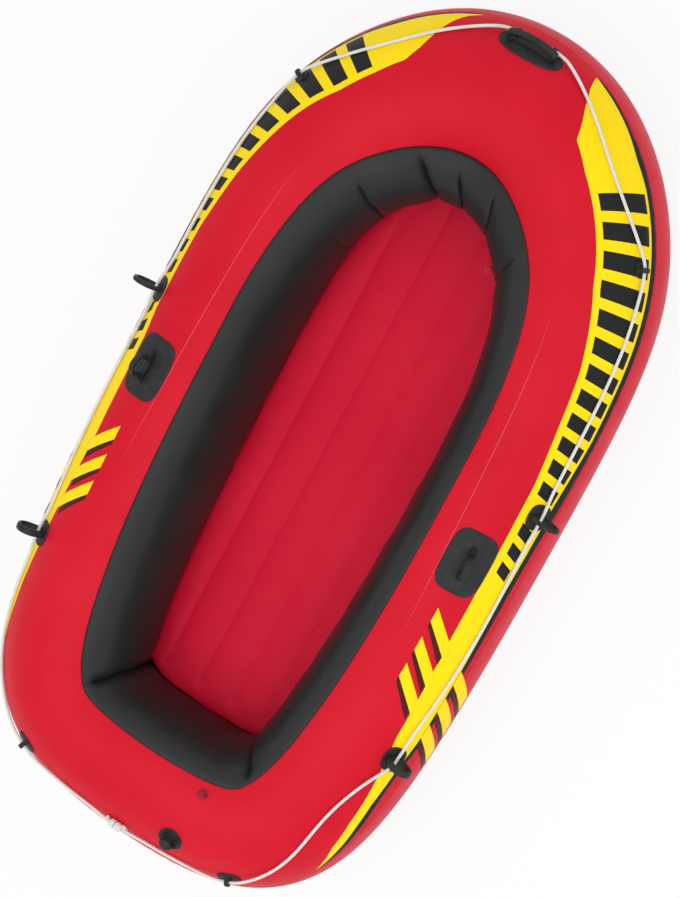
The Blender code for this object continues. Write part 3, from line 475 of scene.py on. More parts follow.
# Inner chamber: the black sheet round the cockpit, folded at the bow and mitred at the stern. A
# fold runs from (length, turn) to (length, turn), and has a depth, a half width and a hollow.
innerChamber = {
    "rows": 60, "columns": 560, "lap": 1.5, "topLift": 0.75, "footLift": 0.68,
    "folds": (
        ((-452, 46), (-450, 80), 6, 4, 0.3), ((-366, 17), (-311, 63), 13, 5, 0.35),
        ((-198, 5), (-105, 56), 20, 9, 0.3), ((-32, 15), (7, 50), 15, 5, 0.35),
        ((146, 10), (163, 36), 15, 5, 0.35), ((337, 14), (320, 38), 14, 6, 0.45),
        ((-1745, 6), (-1727, 60), 30, 10, 0.5), ((1706, 4), (1697, 50), 30, 10, 0.5),
    ),
    "slantReach": 95, "hollowWidth": 48, "fadeIn": 20, "fadeOut": (120, 165), "pucker": 0.35,
    "swell": 0.8, "swellPitch": 160, "finePlaces": (0.8, 1.7, 2.8, 4.1, 5.7, 7.7, 10.2, 13.3),
}


def chamberPoints(column, turn, lift=0.0):
    # half an ellipse from the deck's edge to the weld beside the floor, carried along the path and
    # swung out to the cockpit's outline. A column leans with the folds near it, by a bell of its
    # distance. A fold is a cusp depth*((1-h)*exp(-|d|/width) + h*exp(-|d|/hollow)) into the sheet.
    size = innerChamber
    column, turn = np.broadcast_arrays(column, turn)
    length, depth = column.copy(), np.zeros(column.shape)
    for (top, topTurn), (foot, footTurn), deep, wide, hollow in size["folds"]:
        middle = (top + foot) / 2
        beside = besidePath(column, middle)
        place = np.interp(turn, (topTurn, footTurn), (top, foot))
        length = length + (place - middle) * bell(beside, size["slantReach"])
        cover = stepUp(turn, topTurn - 4, topTurn + size["fadeIn"])
        cover = cover * (1 - stepUp(turn, *size["fadeOut"]))
        far = hollow * np.exp(-np.abs(beside) / size["hollowWidth"])
        depth = depth + deep * cover * ((1 - hollow) * np.exp(-np.abs(beside) / wide) + far)
    start, end = np.radians(deckEdge(length) + size["lap"]), math.radians(innerWeld)
    startRadius, endRadius = tubeRadius + size["topLift"], tubeRadius + size["footLift"]
    startP, startQ = startRadius * np.sin(start), startRadius * np.cos(start) + skin
    spanP, spanQ = endRadius * math.sin(end) - startP, endRadius * math.cos(end) - startQ
    out = pathNormal(length)
    edge = onPath(length, cockpitPoint) - onPath(length, pathPoint)
    bulgeP = (edge * out).sum(-1) - startP - spanP / 2
    bulgeR = edge[..., 0] * out[..., 1] - edge[..., 1] * out[..., 0]
    around = np.radians(turn)
    share = (1 - np.cos(around)) / 2
    slopeP = spanP * np.sin(around) / 2 + bulgeP * np.cos(around)
    slopeQ = spanQ * np.sin(around) / 2
    s = 2 * math.pi * length
    ripple = np.sin(s / 19 + 3 * np.sin(s / 240)) * (0.6 + 0.4 * np.sin(s / 83))
    waves = round(pathLength / size["swellPitch"])
    swell = np.sin(waves * s / pathLength + around) * np.sin(around) ** 2
    height = lift - depth + size["pucker"] * ripple * bell(turn - 3, 7) + size["swell"] * swell
    height = height / np.hypot(slopeP, slopeQ)
    p = startP + spanP * share + bulgeP * np.sin(around) + height * slopeQ
    return offTube(length, p, startQ + spanQ * share - height * slopeP, bulgeR * np.sin(around))


def chamberColumns():
    # even columns, but closer and closer to each fold's own line
    fine = np.array(innerChamber["finePlaces"])
    fine = np.r_[-fine[::-1], 0, fine]
    even = np.linspace(0, pathLength, innerChamber["columns"] + 1)[:-1]
    places = np.array([[(fold[0][0] + fold[1][0]) / 2] for fold in innerChamber["folds"]])
    even = even[np.abs(besidePath(even, places)).min(0) > fine[-1] + 2]
    return np.unique(np.r_[even, np.mod(places + fine, pathLength).ravel()])


def makeChamber():
    column = chamberColumns()[None, :]
    turn = np.linspace(0, 180, innerChamber["rows"])[:, None]
    points = chamberPoints(column, turn)
    away = chamberPoints(column, turn, 10) - points
    laySurface("innerChamberSheet", points, blackVinyl, outward=away, joinColumns=True, wall=skin,
               nodes=["inner_chamber_skin"], slot="black_vinyl")


# Floor: a ridged top sheet held down along its beams, and a flat bottom sheet
floorSheets = {
    "height": 74, "ridge": 6, "untied": 0.93, "beams": 4, "bay": 90, "beamEnd": 60, "edgeFade": 30,
    "across": 181, "along": 260, "tuckUnder": 2, "weldWidth": 7, "gather": 0.3, "sag": 3,
    "valve": (90, 480), "hole": 10.5,
}


def cockpitOutline(height):
    # where the inner chamber's lower half passes this height, at each point of the path
    length = hullColumns()
    rows = chamberPoints(length[None, :], np.linspace(90, 180, 91)[:, None])
    first = np.argmax(rows[..., 2] <= height, axis=0)
    column = np.arange(len(length))
    high, low = rows[first - 1, column], rows[first, column]
    share = (high[:, 2] - height) / (high[:, 2] - low[:, 2])
    return (high + (low - high) * share[:, None])[:, :2]


def floorGrid(outline, grow, blunt):
    # x runs across at each y, from -w(y) to w(y), where w is the outline's half width there, read
    # without its middle points at a blunt end. Also gives the rough distance to the outline,
    # (w - |x|)/sqrt(1 + w'^2)
    side = outline[outline[:, 0] > (0.001 if blunt else -0.001)]
    side = side[np.argsort(side[:, 1])]
    low, high = outline[:, 1].min() - grow, outline[:, 1].max() + grow
    share = np.linspace(0, 1, floorSheets["along"])[:, None]
    y = low + (high - low) * (1 - np.cos(math.pi * share)) / 2
    w = np.interp(y, side[:, 1], side[:, 0]) + grow
    x = np.linspace(-1, 1, floorSheets["across"]) * w
    edge = (w - np.abs(x)) / np.sqrt(1 + np.gradient(w[:, 0], y[:, 0])[:, None] ** 2)
    return x, y + 0 * x, np.minimum(edge, np.minimum(y - low, high - y))


def fromBeam(x):
    # distance to the nearest beam; an even number of beams stands half a bay off the middle
    bay, half = floorSheets["bay"], (floorSheets["beams"] + 1) % 2 / 2
    return np.abs(np.mod(x / bay - half + 0.5, 1) - 0.5) * bay


def floorHeight(x, y, edge):
    # round tops between the beams: ridge*sin(pi d/bay)^0.6 above the weld lines, where d is the
    # distance to the nearest beam, without lines past the beams' ends, and falling off at the rim
    bay, beamEnd, ridge = pick(floorSheets, "bay beamEnd ridge")
    away = fromBeam(x)
    wave = np.sin(math.pi * np.minimum(away + 0.6, bay / 2) / bay) ** 0.6
    tied = stepUp(edge, 0.4 * beamEnd, beamEnd) * stepUp(2.5 * bay - np.abs(x), 0, 0.4 * bay)
    wave = wave * tied + (1 - tied) * floorSheets["untied"]
    rim = np.clip(edge / floorSheets["edgeFade"], 0, 1)
    rim = np.sqrt(rim * (2 - rim))
    s = 2 * math.pi * y
    pucker = np.sin(s / 24 + 2 * np.sin(s / 310) + 1.7 * np.round(x / bay + 0.5))
    gather = floorSheets["gather"] * pucker * bell(away - floorSheets["weldWidth"], 6) * tied
    return floorSheets["height"] + ridge * (wave * rim - 1) + gather


def makeFloor():
    height, sag = pick(floorSheets, "height sag")
    outline = cockpitOutline(height - floorSheets["ridge"] / 2)
    x, y, edge = floorGrid(outline, floorSheets["tuckUnder"], True)
    hole = (np.array([*floorSheets["valve"], height]), floorSheets["hole"])
    points = np.stack([x, y, floorHeight(x, y, edge)], -1)
    laySurface("floorTopSheet", points, floorVinyl, outward=(0, 0, 1), wall=skin, holes=[hole],
               nodes=["floor_top_sheet"], slot="floor_red_vinyl")
    low = roundTube(hullColumns(), hullPlan["floorWeld"], tubeRadius)
    x, y, edge = floorGrid(low[:, :2], 0.0, False)
    z = low[:, 2].min() - 1.5 * gap - skin
    z = z - sag * np.sin(math.pi * fromBeam(x) / floorSheets["bay"]) * stepUp(edge, 20, 90)
    laySurface("floorBottomSheet", np.stack([x, y, z], -1), lowerRedVinyl, outward=(0, 0, -1),
               wall=skin, nodes=["floor_bottom_sheet"], slot="lower_red_vinyl")


# Printed stripes, length along the path and tube angle. Each outline is a row of (length, angle).
# Bars have a first and last length, a pitch, a width, and angles to the band's two edges.
stripePrint = {
    "lift": 0.35, "thick": 0.15, "barLean": 14,
    "innerStarboard": (
        (86, 63.5), (93, 53), (114, 39), (153, 21.5), (211, 18.5), (412, 18.5), (564, 27),
        (684, 30.5), (808, 34.5), (924, 35), (1159, 35.5), (1356, 38.4), (1400, 38.9),
        (1463, 42.4), (1564, 47.8), (1607, 49.6), (1664, 54.6), (1710, 65.8)),
    "innerPort": (
        (86, 64), (104, 60), (118, 53.5), (148, 35.5), (163, 28), (189, 20.5), (247, 18),
        (321, 17.5), (406, 23), (564, 33), (702, 40), (897, 41), (963, 37), (1090, 37), (1193, 36),
        (1382, 40.5), (1463, 43.4), (1564, 48), (1607, 49.6), (1664, 54.6), (1710, 65.8)),
    "outer": (
        (86, 64.6), (100, 64), (163, 62.5), (211, 60.5), (256, 62), (684, 61.5), (826, 58),
        (1045, 57), (1233, 58.3), (1400, 58.3), (1470, 55.6), (1558, 55.2), (1609, 57.6),
        (1667, 62), (1710, 66)),
    "line": (
        (86, 65.2), (104, 66.8), (166, 65.5), (218, 66.8), (681, 66.8), (826, 65.3), (927, 63),
        (1045, 62), (1189, 62.5), (1400, 62.3), (1470, 59.4), (1521, 58.9), (1555, 59.9),
        (1611, 62.6), (1669, 66), (1710, 66.9)),
    "bars": ((250, 790, 49, 30, 5, 2.5), (884, 1012, 45, 27, 6, 6)),
}
# Slanted stripes inside and outside the band, from one angle to another, each with a shadow behind.
# runOn carries the yellow over the band's edge. The inner ones are printed further aft on port.
slashes = {
    "inner": {
        "starts": (1118, 1187, 1251), "width": 33, "angles": (16.5, 36.8), "lean": 58,
        "shadow": 19.55, "runOn": 1.18, "taper": 0.4, "rows": 24, "portShift": 30, "lift": 0.02,
    },
    "outer": {
        "starts": (1225, 1290, 1355), "width": 34, "angles": (58.5, 88), "lean": 62,
        "shadow": 17, "runOn": 1, "taper": 0, "rows": 60, "portShift": 0, "lift": 0.15,
    },
}
# Painted highlight of the crease along the weld line of the wall inside the tube, on each side's
# deck:
# a pale strip. (length, angle) at its ends, half its width in degrees, and a lift on top of the
# print's own
weldHighlightStrip = {"from": (480, -5.7), "to": (1200, 3.3), "half": 0.42, "lift": -0.05}


def edgeAt(length, row):
    return np.interp(length, *np.array(stripePrint[row], float).T)


def layPrint(name, length, angle, side, ink, lift=0.0):
    # a printed shape: its grid of (length, angle) wrapped on the hull, side 1 starboard, -1 port
    layOnHull(name, side * length, angle, ink, stripePrint["lift"] + lift,
              wall=stripePrint["thick"], slot="red_vinyl")


def makeBand(side, word):
    # its columns are the hull's own, so that it follows the hull's facets
    low, high = stripePrint["outer"][0][0], stripePrint["outer"][-1][0]
    length = np.mod(side * hullColumns(), pathLength)
    length = np.unique(np.r_[low, length[(length > low) & (length < high)], high])
    inner, outer, line = (edgeAt(length, row) for row in ("inner" + word, "outer", "line"))
    for name, ink, near, far, rows in (
        ("yellowBand", yellowInk, inner, outer, 24), ("blackLine", blackInk, outer, line, 6),
    ):
        angle = near + (far - near) * np.linspace(0, 1, rows)[:, None]
        layPrint(name + word, length[None], angle, side, ink)


def makeSlashes(side, word):
    for kind, size in slashes.items():
        width, lean, runOn, lift = pick(size, "width lean runOn lift")
        low, high = size["angles"]
        share = np.linspace(0, 1, size["rows"])[:, None]
        fade = 1 - size["taper"] * (1 - share)
        for number, start in enumerate(size["starts"], 1):
            start += size["portShift"] * (side < 0)
            stripe = start + np.linspace(0, width, 9) + lean * runOn * share
            shadow = start + width + np.linspace(0.5, size["shadow"], 7) * fade + lean * share
            angle, title = (high - low) * share, f"{number}{word}"
            layPrint(f"{kind}Stripe" + title, stripe, low + angle * runOn, side, yellowInk, lift)
            layPrint(f"{kind}Shadow" + title, shadow, low + angle, side, brownInk, lift + 0.03)


def makeBars(side, word):
    number = 0
    share = np.linspace(0, 1, 16)[:, None]
    for first, last, pitch, width, top, foot in stripePrint["bars"]:
        for start in np.arange(first, last, pitch):
            number += 1
            length = start + np.linspace(0, width, 8) + stripePrint["barLean"] * share
            inner, outer = edgeAt(length, "inner" + word) + top, edgeAt(length, "outer") - foot
            angle = inner + (outer - inner) * share
            layPrint(f"bandBar{number}{word}", length, angle, side, blackInk, 0.2)


def makeWeldHighlight(side, word):
    # painted highlight, a pale strip; it narrows to nothing at both ends, by the square root of a
    # sine
    (start, startAngle), (stop, stopAngle) = weldHighlightStrip["from"], weldHighlightStrip["to"]
    share = np.linspace(0, 1, 200)
    half = weldHighlightStrip["half"] * np.sqrt(np.abs(np.sin(math.pi * share)))
    angle = startAngle + (stopAngle - startAngle) * share + half * np.array([-1, 0, 1])[:, None]
    layPrint("wallWeldLine" + word, start + (stop - start) * share[None], angle, side, highlightRedVinyl,
             weldHighlightStrip["lift"])


makeHull()
print("hull sheets laid")
makeChamber()
print("inner chamber laid")
makeFloor()
print("floor sheets laid")
for side, word in sides:
    for make in (makeBand, makeSlashes, makeBars, makeWeldHighlight):
        make(side, word)
print("stripes printed")


def powerCircle(count, power):
    # cos and sin raised to 2/power with their signs: 2 is a circle, more is squarer
    c, s = np.cos(turnsOf(count)), np.sin(turnsOf(count))
    return np.sign(c) * np.abs(c) ** (2 / power), np.sign(s) * np.abs(s) ** (2 / power)


def mouldedPvc(name, code, roughness, grain, depth):
    # Soft PVC from a steel mould: a fine spark-eroded texture about 0.4 mm across, drawn at the
    # given size so that it shows, duller on the high spots where hands and rope have rubbed it.
    made, tree, shader = startMaterial(name)
    spark = addTexture(tree, "TexVoronoi", Scale=1 / (grain * mm)).outputs["Distance"]
    rub = addTexture(tree, "TexNoise", Scale=60.0, Detail=5.0).outputs["Fac"]
    base = linear(code)
    worn = brighten(base, 1.5, 0.006)
    setInputs(tree, shader, {
        "Base Color": mixColours(tree, mapRange(tree, rub, 0.45, 0.75), base, worn),
        "Roughness": mapRange(tree, rub, 0.3, 0.7, roughness - 0.06, roughness + 0.1),
        "Normal": addBump(tree, spark, depth), "IOR": 1.52, "Specular IOR Level": 0.22,
    })
    return made


blackMoulding = mouldedPvc("blackMouldedPvc", "1f2122", 0.46, 1.3, 0.10)
blackPad = mouldedPvc("blackEmbossedPvc", "232425", 0.52, 2.4, 0.30)
blackRubber = mouldedPvc("blackRubberSeal", "1c1d1e", 0.68, 1.0, 0.05)
redMoulding = mouldedPvc("redMouldedPvc", "8c1022", 0.42, 1.3, 0.06)
floorMoulding = mouldedPvc("floorRedMouldedPvc", "c81232", 0.45, 1.3, 0.06)


def layMoulded(name, points, ring=True, finish=blackMoulding, slot="moulded_fittings", **more):
    # a closed moulding: its columns join, and its rows too where each is part of a ring
    laySurface(name, points, finish, joinRows=ring, joinColumns=True, slot=slot, **more)


def makePatch(name, seat, half, power, thick, side=1, base=0.0, rim=0.5, finish=blackPad, nodes=()):
    # a welded pad: rings of a superellipse |x/a|^n + |y/b|^n = 1, from the top's middle over a
    # raised rim and a rounded edge to the underside's middle. Rows are (size, height, rim).
    c, s = powerCircle(96, power)
    profile = np.array([
        (0, 1, 0), (0.25, 1, 0), (0.5, 1, 0), (0.7, 1, 0), (0.8, 1, 0), (0.845, 1, 0),
        (0.87, 1, 0.5), (0.89, 1, 0.95), (0.92, 1, 0.95), (0.945, 1, 0.5), (0.96, 0.96, 0.1),
        (0.98, 0.8, 0), (0.993, 0.55, 0), (1, 0.25, 0), (0.998, 0, 0), (0.75, 0, 0), (0.4, 0, 0),
        (0, 0, 0),
    ])
    reach, level, bead = profile.T[..., None]
    z = base + level * thick + bead * rim
    points = onSeat(seat, half[0] * reach * c, half[1] * reach * s, z, side)
    layMoulded(name, points, False, finish, nodes=nodes)


def eyeLoops(size, height, base):
    # an oval hole, and round it a rim that spreads below the hole's middle to a foot on the base
    turn = turnsOf(96) + math.pi / 2
    c, s = np.cos(turn), np.sin(turn)
    (rx, rz), rim = size["hole"], size["rim"]
    spread = rx + rim + (size["foot"] - rx - rim) * np.clip(-2 * s, 0, 1) ** 2
    x = np.where(s >= 0, (rx + rim) * c, spread * np.clip(1.9 * c, -1, 1))
    low = base + (height - base) * np.maximum(0, 1 + 1.6 * s)
    z = np.where(s >= 0, height + (rz + rim) * s, low)
    return np.stack([x, z], 1), np.stack([rx * c, height + rz * s], 1)


def roundLoop(loop, passes):
    # softens a closed loop's corners: each pass averages a point with its neighbours
    for _ in range(passes):
        loop = (np.roll(loop, 1, 0) + 2 * loop + np.roll(loop, -1, 0)) / 4
    return loop


def barPoints(outer, inner, thick, power):
    # a bar between two loops: its section is a superellipse half the gap wide and thick deep
    c, s = powerCircle(20, power)
    middle, reach = (outer + inner) / 2, (outer - inner) / 2
    plane = middle[:, None, :] + reach[:, None, :] * c[None, :, None]
    return plane[..., 0], np.broadcast_to(thick / 2 * s, plane.shape[:2]), plane[..., 1]


def makeEye(name, seat, size, base, side, node, across="x", offset=(0, 0)):
    # across: the axis that the hole's bore follows. Over the tube (y) the eye is straight and flat.
    outer, inner = eyeLoops(size, base + size["height"], base + padFloat)
    u, v, z = barPoints(roundLoop(outer, 3), inner, size["thick"], 3.4)
    if across == "x":
        points = onSeat(seat, v + offset[0], u + offset[1], z, side)
    else:
        points = inFrame(*seatFrame(seat, side), u + offset[0], v + offset[1], z)
    layMoulded(name, points, nodes=[node])


# Each fitting is placed where the path passes at on the axis, 0 for x and 1 for y. padFloat keeps
# what stands on a pad just off it.
padFloat = 0.15
fittingSizes = "at axis angle half power padThick hole rim foot height thick across".split()
fittings = {name: dict(zip(fittingSizes, row)) for name, row in {
    "oarlock": (-25, 1, 18.5, (70, 49), 4, 2.5, (17, 17), 9, 38, 27.2, 13, "y"),
    "oar_holder_mid": (120, 1, 50, (29, 26), 2.8, 2, (15, 25), 8, 20, 29, 9.5, "x"),
    "oar_holder_aft": (-465, 1, 47, (29, 26), 2.8, 2, (15, 23), 8, 20, 27, 15, "x"),
    "rope_tab_front": (600, 1, 53, (17, 14), 2.8, 1.6, (5, 5), 5, 13, 7.5, 10, "x"),
    "rope_tab_stern": (217, 0, 50, (27, 20), 2.8, 1.6, (5, 5), 5, 13, 7.5, 10, "x"),
}.items()}
collar = {"margin": 3, "power": 2.6, "thick": 1.5, "sink": 0.3}
bowHandle = {
    "angle": 45, "half": (73, 32), "power": 2.2, "padThick": 2.5, "halfLength": 56, "halfWidth": 7,
    "strap": 4, "bar": 2.5, "gapHeight": 22, "arch": 0.2, "pillar": 9,
    "rib": 0.5, "ribPitch": 7, "ribsAbove": (12, 16), "ribsWithin": (30, 38),
    "eyePlace": (40, -18),
    "eye": {"hole": (4.6, 4.6), "rim": 3, "foot": 8, "height": 6.1, "thick": 8},
}


def makeFittings():
    for name, size in fittings.items():
        size["seat"] = seat = makeSeat(lengthAt(size["at"], size["axis"]), size["angle"])
        half, power, pad, across = pick(size, "half power padThick across")
        foot = (size["thick"] / 2 + collar["margin"], size["foot"] + collar["margin"])
        foot = foot if across == "x" else foot[::-1]
        title = name.title().replace("_", "")
        for side, word in sides:
            piece, node = title[0].lower() + title[1:] + word, word.lower()
            makePatch(piece + "Pad", seat, half, power, pad, side, nodes=[f"{name}_patch_{node}"])
            makePatch(piece + "Collar", seat, foot, collar["power"], collar["thick"], side,
                      pad - collar["sink"], 0, blackMoulding)
            makeEye(piece + "Eye", seat, size, pad, side, f"{name}_{node}", across)


def archLoop(half, low, high, arch):
    # a loop that is flat at low and arched at its top, by high*(1 - arch*share^2)
    share = np.linspace(-1, 1, 61)
    top = np.stack([half * share, high * (1 - arch * share**2)], 1)
    rise = np.linspace(1, 0, 12)[1:-1]
    right = np.stack([half + 0 * rise, low + (top[-1, 1] - low) * rise], 1)
    below = np.stack([half * share[::-1], low + 0 * share], 1)
    return roundLoop(np.vstack([top, right, below, right[::-1] * (-1, 1)]), 14)


def makeBowHandle():
    size = bowHandle
    seat = makeSeat(0.0, size["angle"])
    pad, half, high, arch = pick(size, "padThick halfLength gapHeight arch")
    makePatch("bowHandlePad", seat, size["half"], size["power"], pad, nodes=["bow_handle_patch"])
    outer = archLoop(half, 0, high + size["strap"], arch)
    inner = archLoop(half - size["pillar"], size["bar"], high, arch)
    u, v, z = barPoints(outer, inner, 2 * size["halfWidth"], 4)
    # finger ribs on the grip: shallow waves across the strap's top
    cover = stepUp(z, *size["ribsAbove"]) * (1 - stepUp(np.abs(u), *size["ribsWithin"]))
    ribs = size["rib"] * np.sin(2 * math.pi * u / size["ribPitch"]) * cover
    points = onSeat(seat, u, v, pad + padFloat + z + ribs)
    layMoulded("bowHandleGrip", points, nodes=["bow_handle_grip"])
    for side, word in sides:
        makeEye("bowHandleEye" + word, seat, size["eye"], pad, -side,
                f"bow_handle_eye_{word.lower()}", offset=size["eyePlace"])


makeFittings()
makeBowHandle()
print("fittings made")


# Valves: turned pieces in the frames of the model's own joints

screwValve = {
    "x": 117, "angle": 27, "flange": 28, "flangeThick": 1.6, "throat": 15.5, "throatWall": 2,
    "depth": 14, "rise": 6, "insertWall": 4.5, "collar": 18.5, "collarThick": 3, "neck": 11,
    "neckHeight": 8, "grid": 1.6, "spoke": 2.4, "stem": 1.4, "stemGap": 0.3, "seal": 1.6,
    "capWall": 2.6, "tetherRing": 1.6, "grips": 24, "collarGrip": 0.45, "capGrip": 0.55,
    "flangeRings": ((24.6, 24.2, 23.2, 22.8), (20.4, 20.0, 19.2, 18.8)), "ringHeight": 0.5,
    "thread": 0.35, "threadPitch": 3, "threadStarts": 2, "threadEnd": 1.5,
}
oralValve = {
    "flange": 11, "flangeThick": 1.2, "stem": 5.5, "bore": 3.9, "rise": 5, "depth": 9, "disc": 5.5,
    "discThick": 1.6, "pin": 3.3, "pinTip": 2.5, "pinLength": 4, "hinge": 9, "hingeHalf": 1.2,
    "ear": 1.4, "arm": 1.6,
}


def roundProfile(corners, radius, closed=True):
    # each corner b becomes a short curve (1-t)^2 a + 2t(1-t) b + t^2 c, from a to c on its edges,
    # radius away from it
    corners = np.array(corners, float)
    count = len(corners)
    t = np.linspace(0, 1, 5)[:, None]
    rows = []
    for i, here in enumerate(corners):
        if not closed and i in (0, count - 1):
            rows.append(here[None])
            continue
        ways = (corners[i - 1] - here, corners[(i + 1) % count] - here)
        a, c = (here + way * min(0.45, radius / np.linalg.norm(way)) for way in ways)
        rows.append((1 - t) ** 2 * a + 2 * t * (1 - t) * here + t**2 * c)
    return np.vstack(rows)


def layTurned(name, place, profile, count=72, grip=None, closed=True, drape=None, **more):
    # rings (r cos, r sin, z) of a profile in place's frame; grip(r, z, turn) adds to the radius.
    # drape is (seat, near, far): between these radii the piece eases into the hull's bend.
    turn = turnsOf(count)[None]
    r, z = profile[:, :1], profile[:, 1:]
    if grip is not None:
        r = r + grip(r, z, turn)
    x, y, z = r * np.cos(turn), r * np.sin(turn), z + 0 * turn
    points = inFrame(*place, x, y, z)
    if drape is not None:
        seat, near, far = drape
        share = stepUp(np.hypot(x, y), near, far)[..., None]
        points = points * (1 - share) + onSeat(seat, x, y, z) * share
    layMoulded(name, points, closed, **more)


def makeScrewValve():
    size = screwValve
    flange, throat, depth, rise = pick(size, "flange throat depth rise")
    collarRadius, neck, seal, grid, spoke, grips = pick(size, "collar neck seal grid spoke grips")
    seat = makeSeat(lengthAt(size["x"], 0), size["angle"])
    origin, z = jointFrame("cap_turn")
    place = (axesFrom(unit(z), seatFrame(seat)[0][:, 0]), origin)

    bore, high = throat - size["throatWall"], size["flangeThick"]
    crest = high + size["ringHeight"]
    corners = [(throat, 0), (flange, 0), (flange + 0.2, high * 0.6), (flange - 1, high)]
    for a, b, c, d in size["flangeRings"]:
        corners += [(a, high), (b, crest), (c, crest), (d, high)]
    corners += [(throat + 1.2, high), (throat, high + 1.4), (throat, rise), (bore, rise),
                (bore, -depth), (throat, -depth)]
    layTurned("screwValveBase", place, roundProfile(corners, 0.5),
              drape=(seat, throat + 0.5, throat + 4), nodes=["valve_base"])

    collarLow = rise + gap + seal + gap
    collarHigh = collarLow + size["collarThick"]
    neckHigh = collarHigh + size["neckHeight"]
    outside = bore - gap
    inside = outside - size["insertWall"]
    low = -depth
    threadLow, threadHigh = low + size["threadEnd"], collarLow - 1

    def threadAndGrip(r, z, turn):
        # starts of a thread cut into the wall below the collar, and grip grooves round the collar
        wave = np.cos(2 * math.pi * z / size["threadPitch"] - size["threadStarts"] * turn)
        wall = (r > outside - 0.8) & (r < outside + 0.1) & (z < threadHigh) & (z > threadLow)
        groove = size["collarGrip"] * (np.cos(grips * turn) - 1) / 2 * (r > collarRadius - 1)
        return np.where(wall, size["thread"] * (wave - 1) / 2, 0.0) + groove

    dense = roundProfile([
        (inside, low), (outside, low), (outside, collarLow), (collarRadius, collarLow),
        (collarRadius, collarHigh), (neck, collarHigh), (neck, neckHigh), (inside, neckHigh),
    ], 0.5)
    wall = np.stack([np.full(40, outside), np.linspace(threadLow, threadHigh, 40)], 1)
    first = int(np.argmax((dense[:, 0] > outside - 0.3) & (dense[:, 1] > low + 0.4))) + 1
    layTurned("screwValveInsert", place, np.vstack([dense[:first], wall, dense[first:]]), 144,
              threadAndGrip, body="insert", nodes=["valve_insert"])
    hub = size["stem"] + size["stemGap"]
    corners = [(hub, low), (hub + spoke, low), (hub + spoke, low + grid), (hub, low + grid)]
    layTurned("insertHub", place, roundProfile(corners, 0.3), 36, body="insert")
    c, s = powerCircle(20, 4)
    x = np.linspace(hub + spoke - 0.4, inside + 0.4, 8)[:, None]
    y, zz = spoke / 2 * c, low + grid / 2 + (grid / 2 - 0.1) * s
    for number, turn in enumerate(turnsOf(3), 1):
        cos, sin = math.cos(turn), math.sin(turn)
        points = inFrame(*place, x * cos - y * sin, x * sin + y * cos, zz)
        ends = points.mean(1, keepdims=True) + 0 * points
        points = np.concatenate([ends[:1], points, ends[-1:]])
        layMoulded(f"insertSpoke{number}", points, False, body="insert")

    capInside = neck + gap
    capOutside = capInside + size["capWall"]
    capLow = collarHigh + gap + size["tetherRing"] + gap
    capCeiling = neckHigh + gap + seal + gap
    capHigh = capCeiling + size["capWall"]
    corners = [
        (0, capCeiling), (capInside, capCeiling), (capInside, capLow), (capOutside, capLow),
        (capOutside, capHigh - 1.4), (capOutside - 1.4, capHigh), (capOutside - 4.2, capHigh),
        (capOutside - 5.0, capHigh - 0.7), (0, capHigh - 0.7),
    ]

    def capGrip(r, z, turn):
        side = stepUp(r, capOutside - 1.2, capOutside - 0.3)
        return size["capGrip"] * side * (np.abs(np.cos(grips * turn / 2)) - 1)

    layTurned("screwValveCap", place, roundProfile(corners, 0.6, False), 192, capGrip, False,
              body="cap", nodes=["valve_cap"])


def makeOralValve(word, place, finish, slot, seat=None):
    # a flanged stem with two hinge ears, and a disc plug on a short arm
    flange, flangeThick, stem, bore, rise = pick(oralValve, "flange flangeThick stem bore rise")
    disc, discThick, pin, pinTip, ear = pick(oralValve, "disc discThick pin pinTip ear")
    depth, pinLength, hinge, hingeHalf, arm = pick(oralValve, "depth pinLength hinge hingeHalf arm")
    look = {"finish": finish, "slot": slot}
    profile = roundProfile([
        (bore, -depth), (stem, -depth), (stem, 0), (flange, 0), (flange, flangeThick),
        (stem + 1, flangeThick + 0.2), (stem, flangeThick + 1), (stem, rise), (bore, rise),
    ], 0.45)
    layTurned(word + "ValveStem", place, profile, 60, drape=seat and (seat, stem + 0.5, stem + 2.5),
              nodes=[f"{word}_valve_stem"], **look)
    c, s = powerCircle(28, 5)
    half = discThick / 2
    middle = rise + gap + half
    level = np.array([0, 0, 0.15, 0.5, 0.85, 1, 1])[:, None]
    squeeze = np.array([0, 0.96, 1, 1, 1, 0.96, 0])[:, None]
    low, high = flangeThick - 0.8, middle + hingeHalf
    for side, title in ((-1, "Right"), (1, "Left")):
        points = inFrame(*place, hinge + hingeHalf * c * squeeze, side * (arm + gap + ear * level),
                         (low + high) / 2 + (high - low) / 2 * s * squeeze)
        layMoulded(f"{word}ValveEar{title}", points, False, **look)
    look["body"] = word + "_plug"
    profile = roundProfile([
        (0, -half - pinLength), (pinTip, -half - pinLength), (pin, -half - 1), (pin - 0.3, -half),
        (disc, -half), (disc, half), (disc - 1.4, half), (disc - 2, half - 0.4), (0, half - 0.4),
    ], 0.35, False) + (0, middle)
    layTurned(word + "ValvePlug", place, profile, 60, closed=False,
              nodes=[f"{word}_valve_plug"], **look)
    x = np.linspace(disc - 1.2, hinge + half, 9)
    squeeze = np.r_[0, 1, 1, 0.9, 0.8, 0.75, 0.8, 0.9, 1, 1, 0][:, None]
    points = inFrame(*place, np.r_[x[0], x, x[-1]][:, None], arm * c * squeeze,
                     middle + (half - 0.1) * s * np.minimum(squeeze * 1.2, 1))
    layMoulded(word + "ValveArm", points, False, **look)


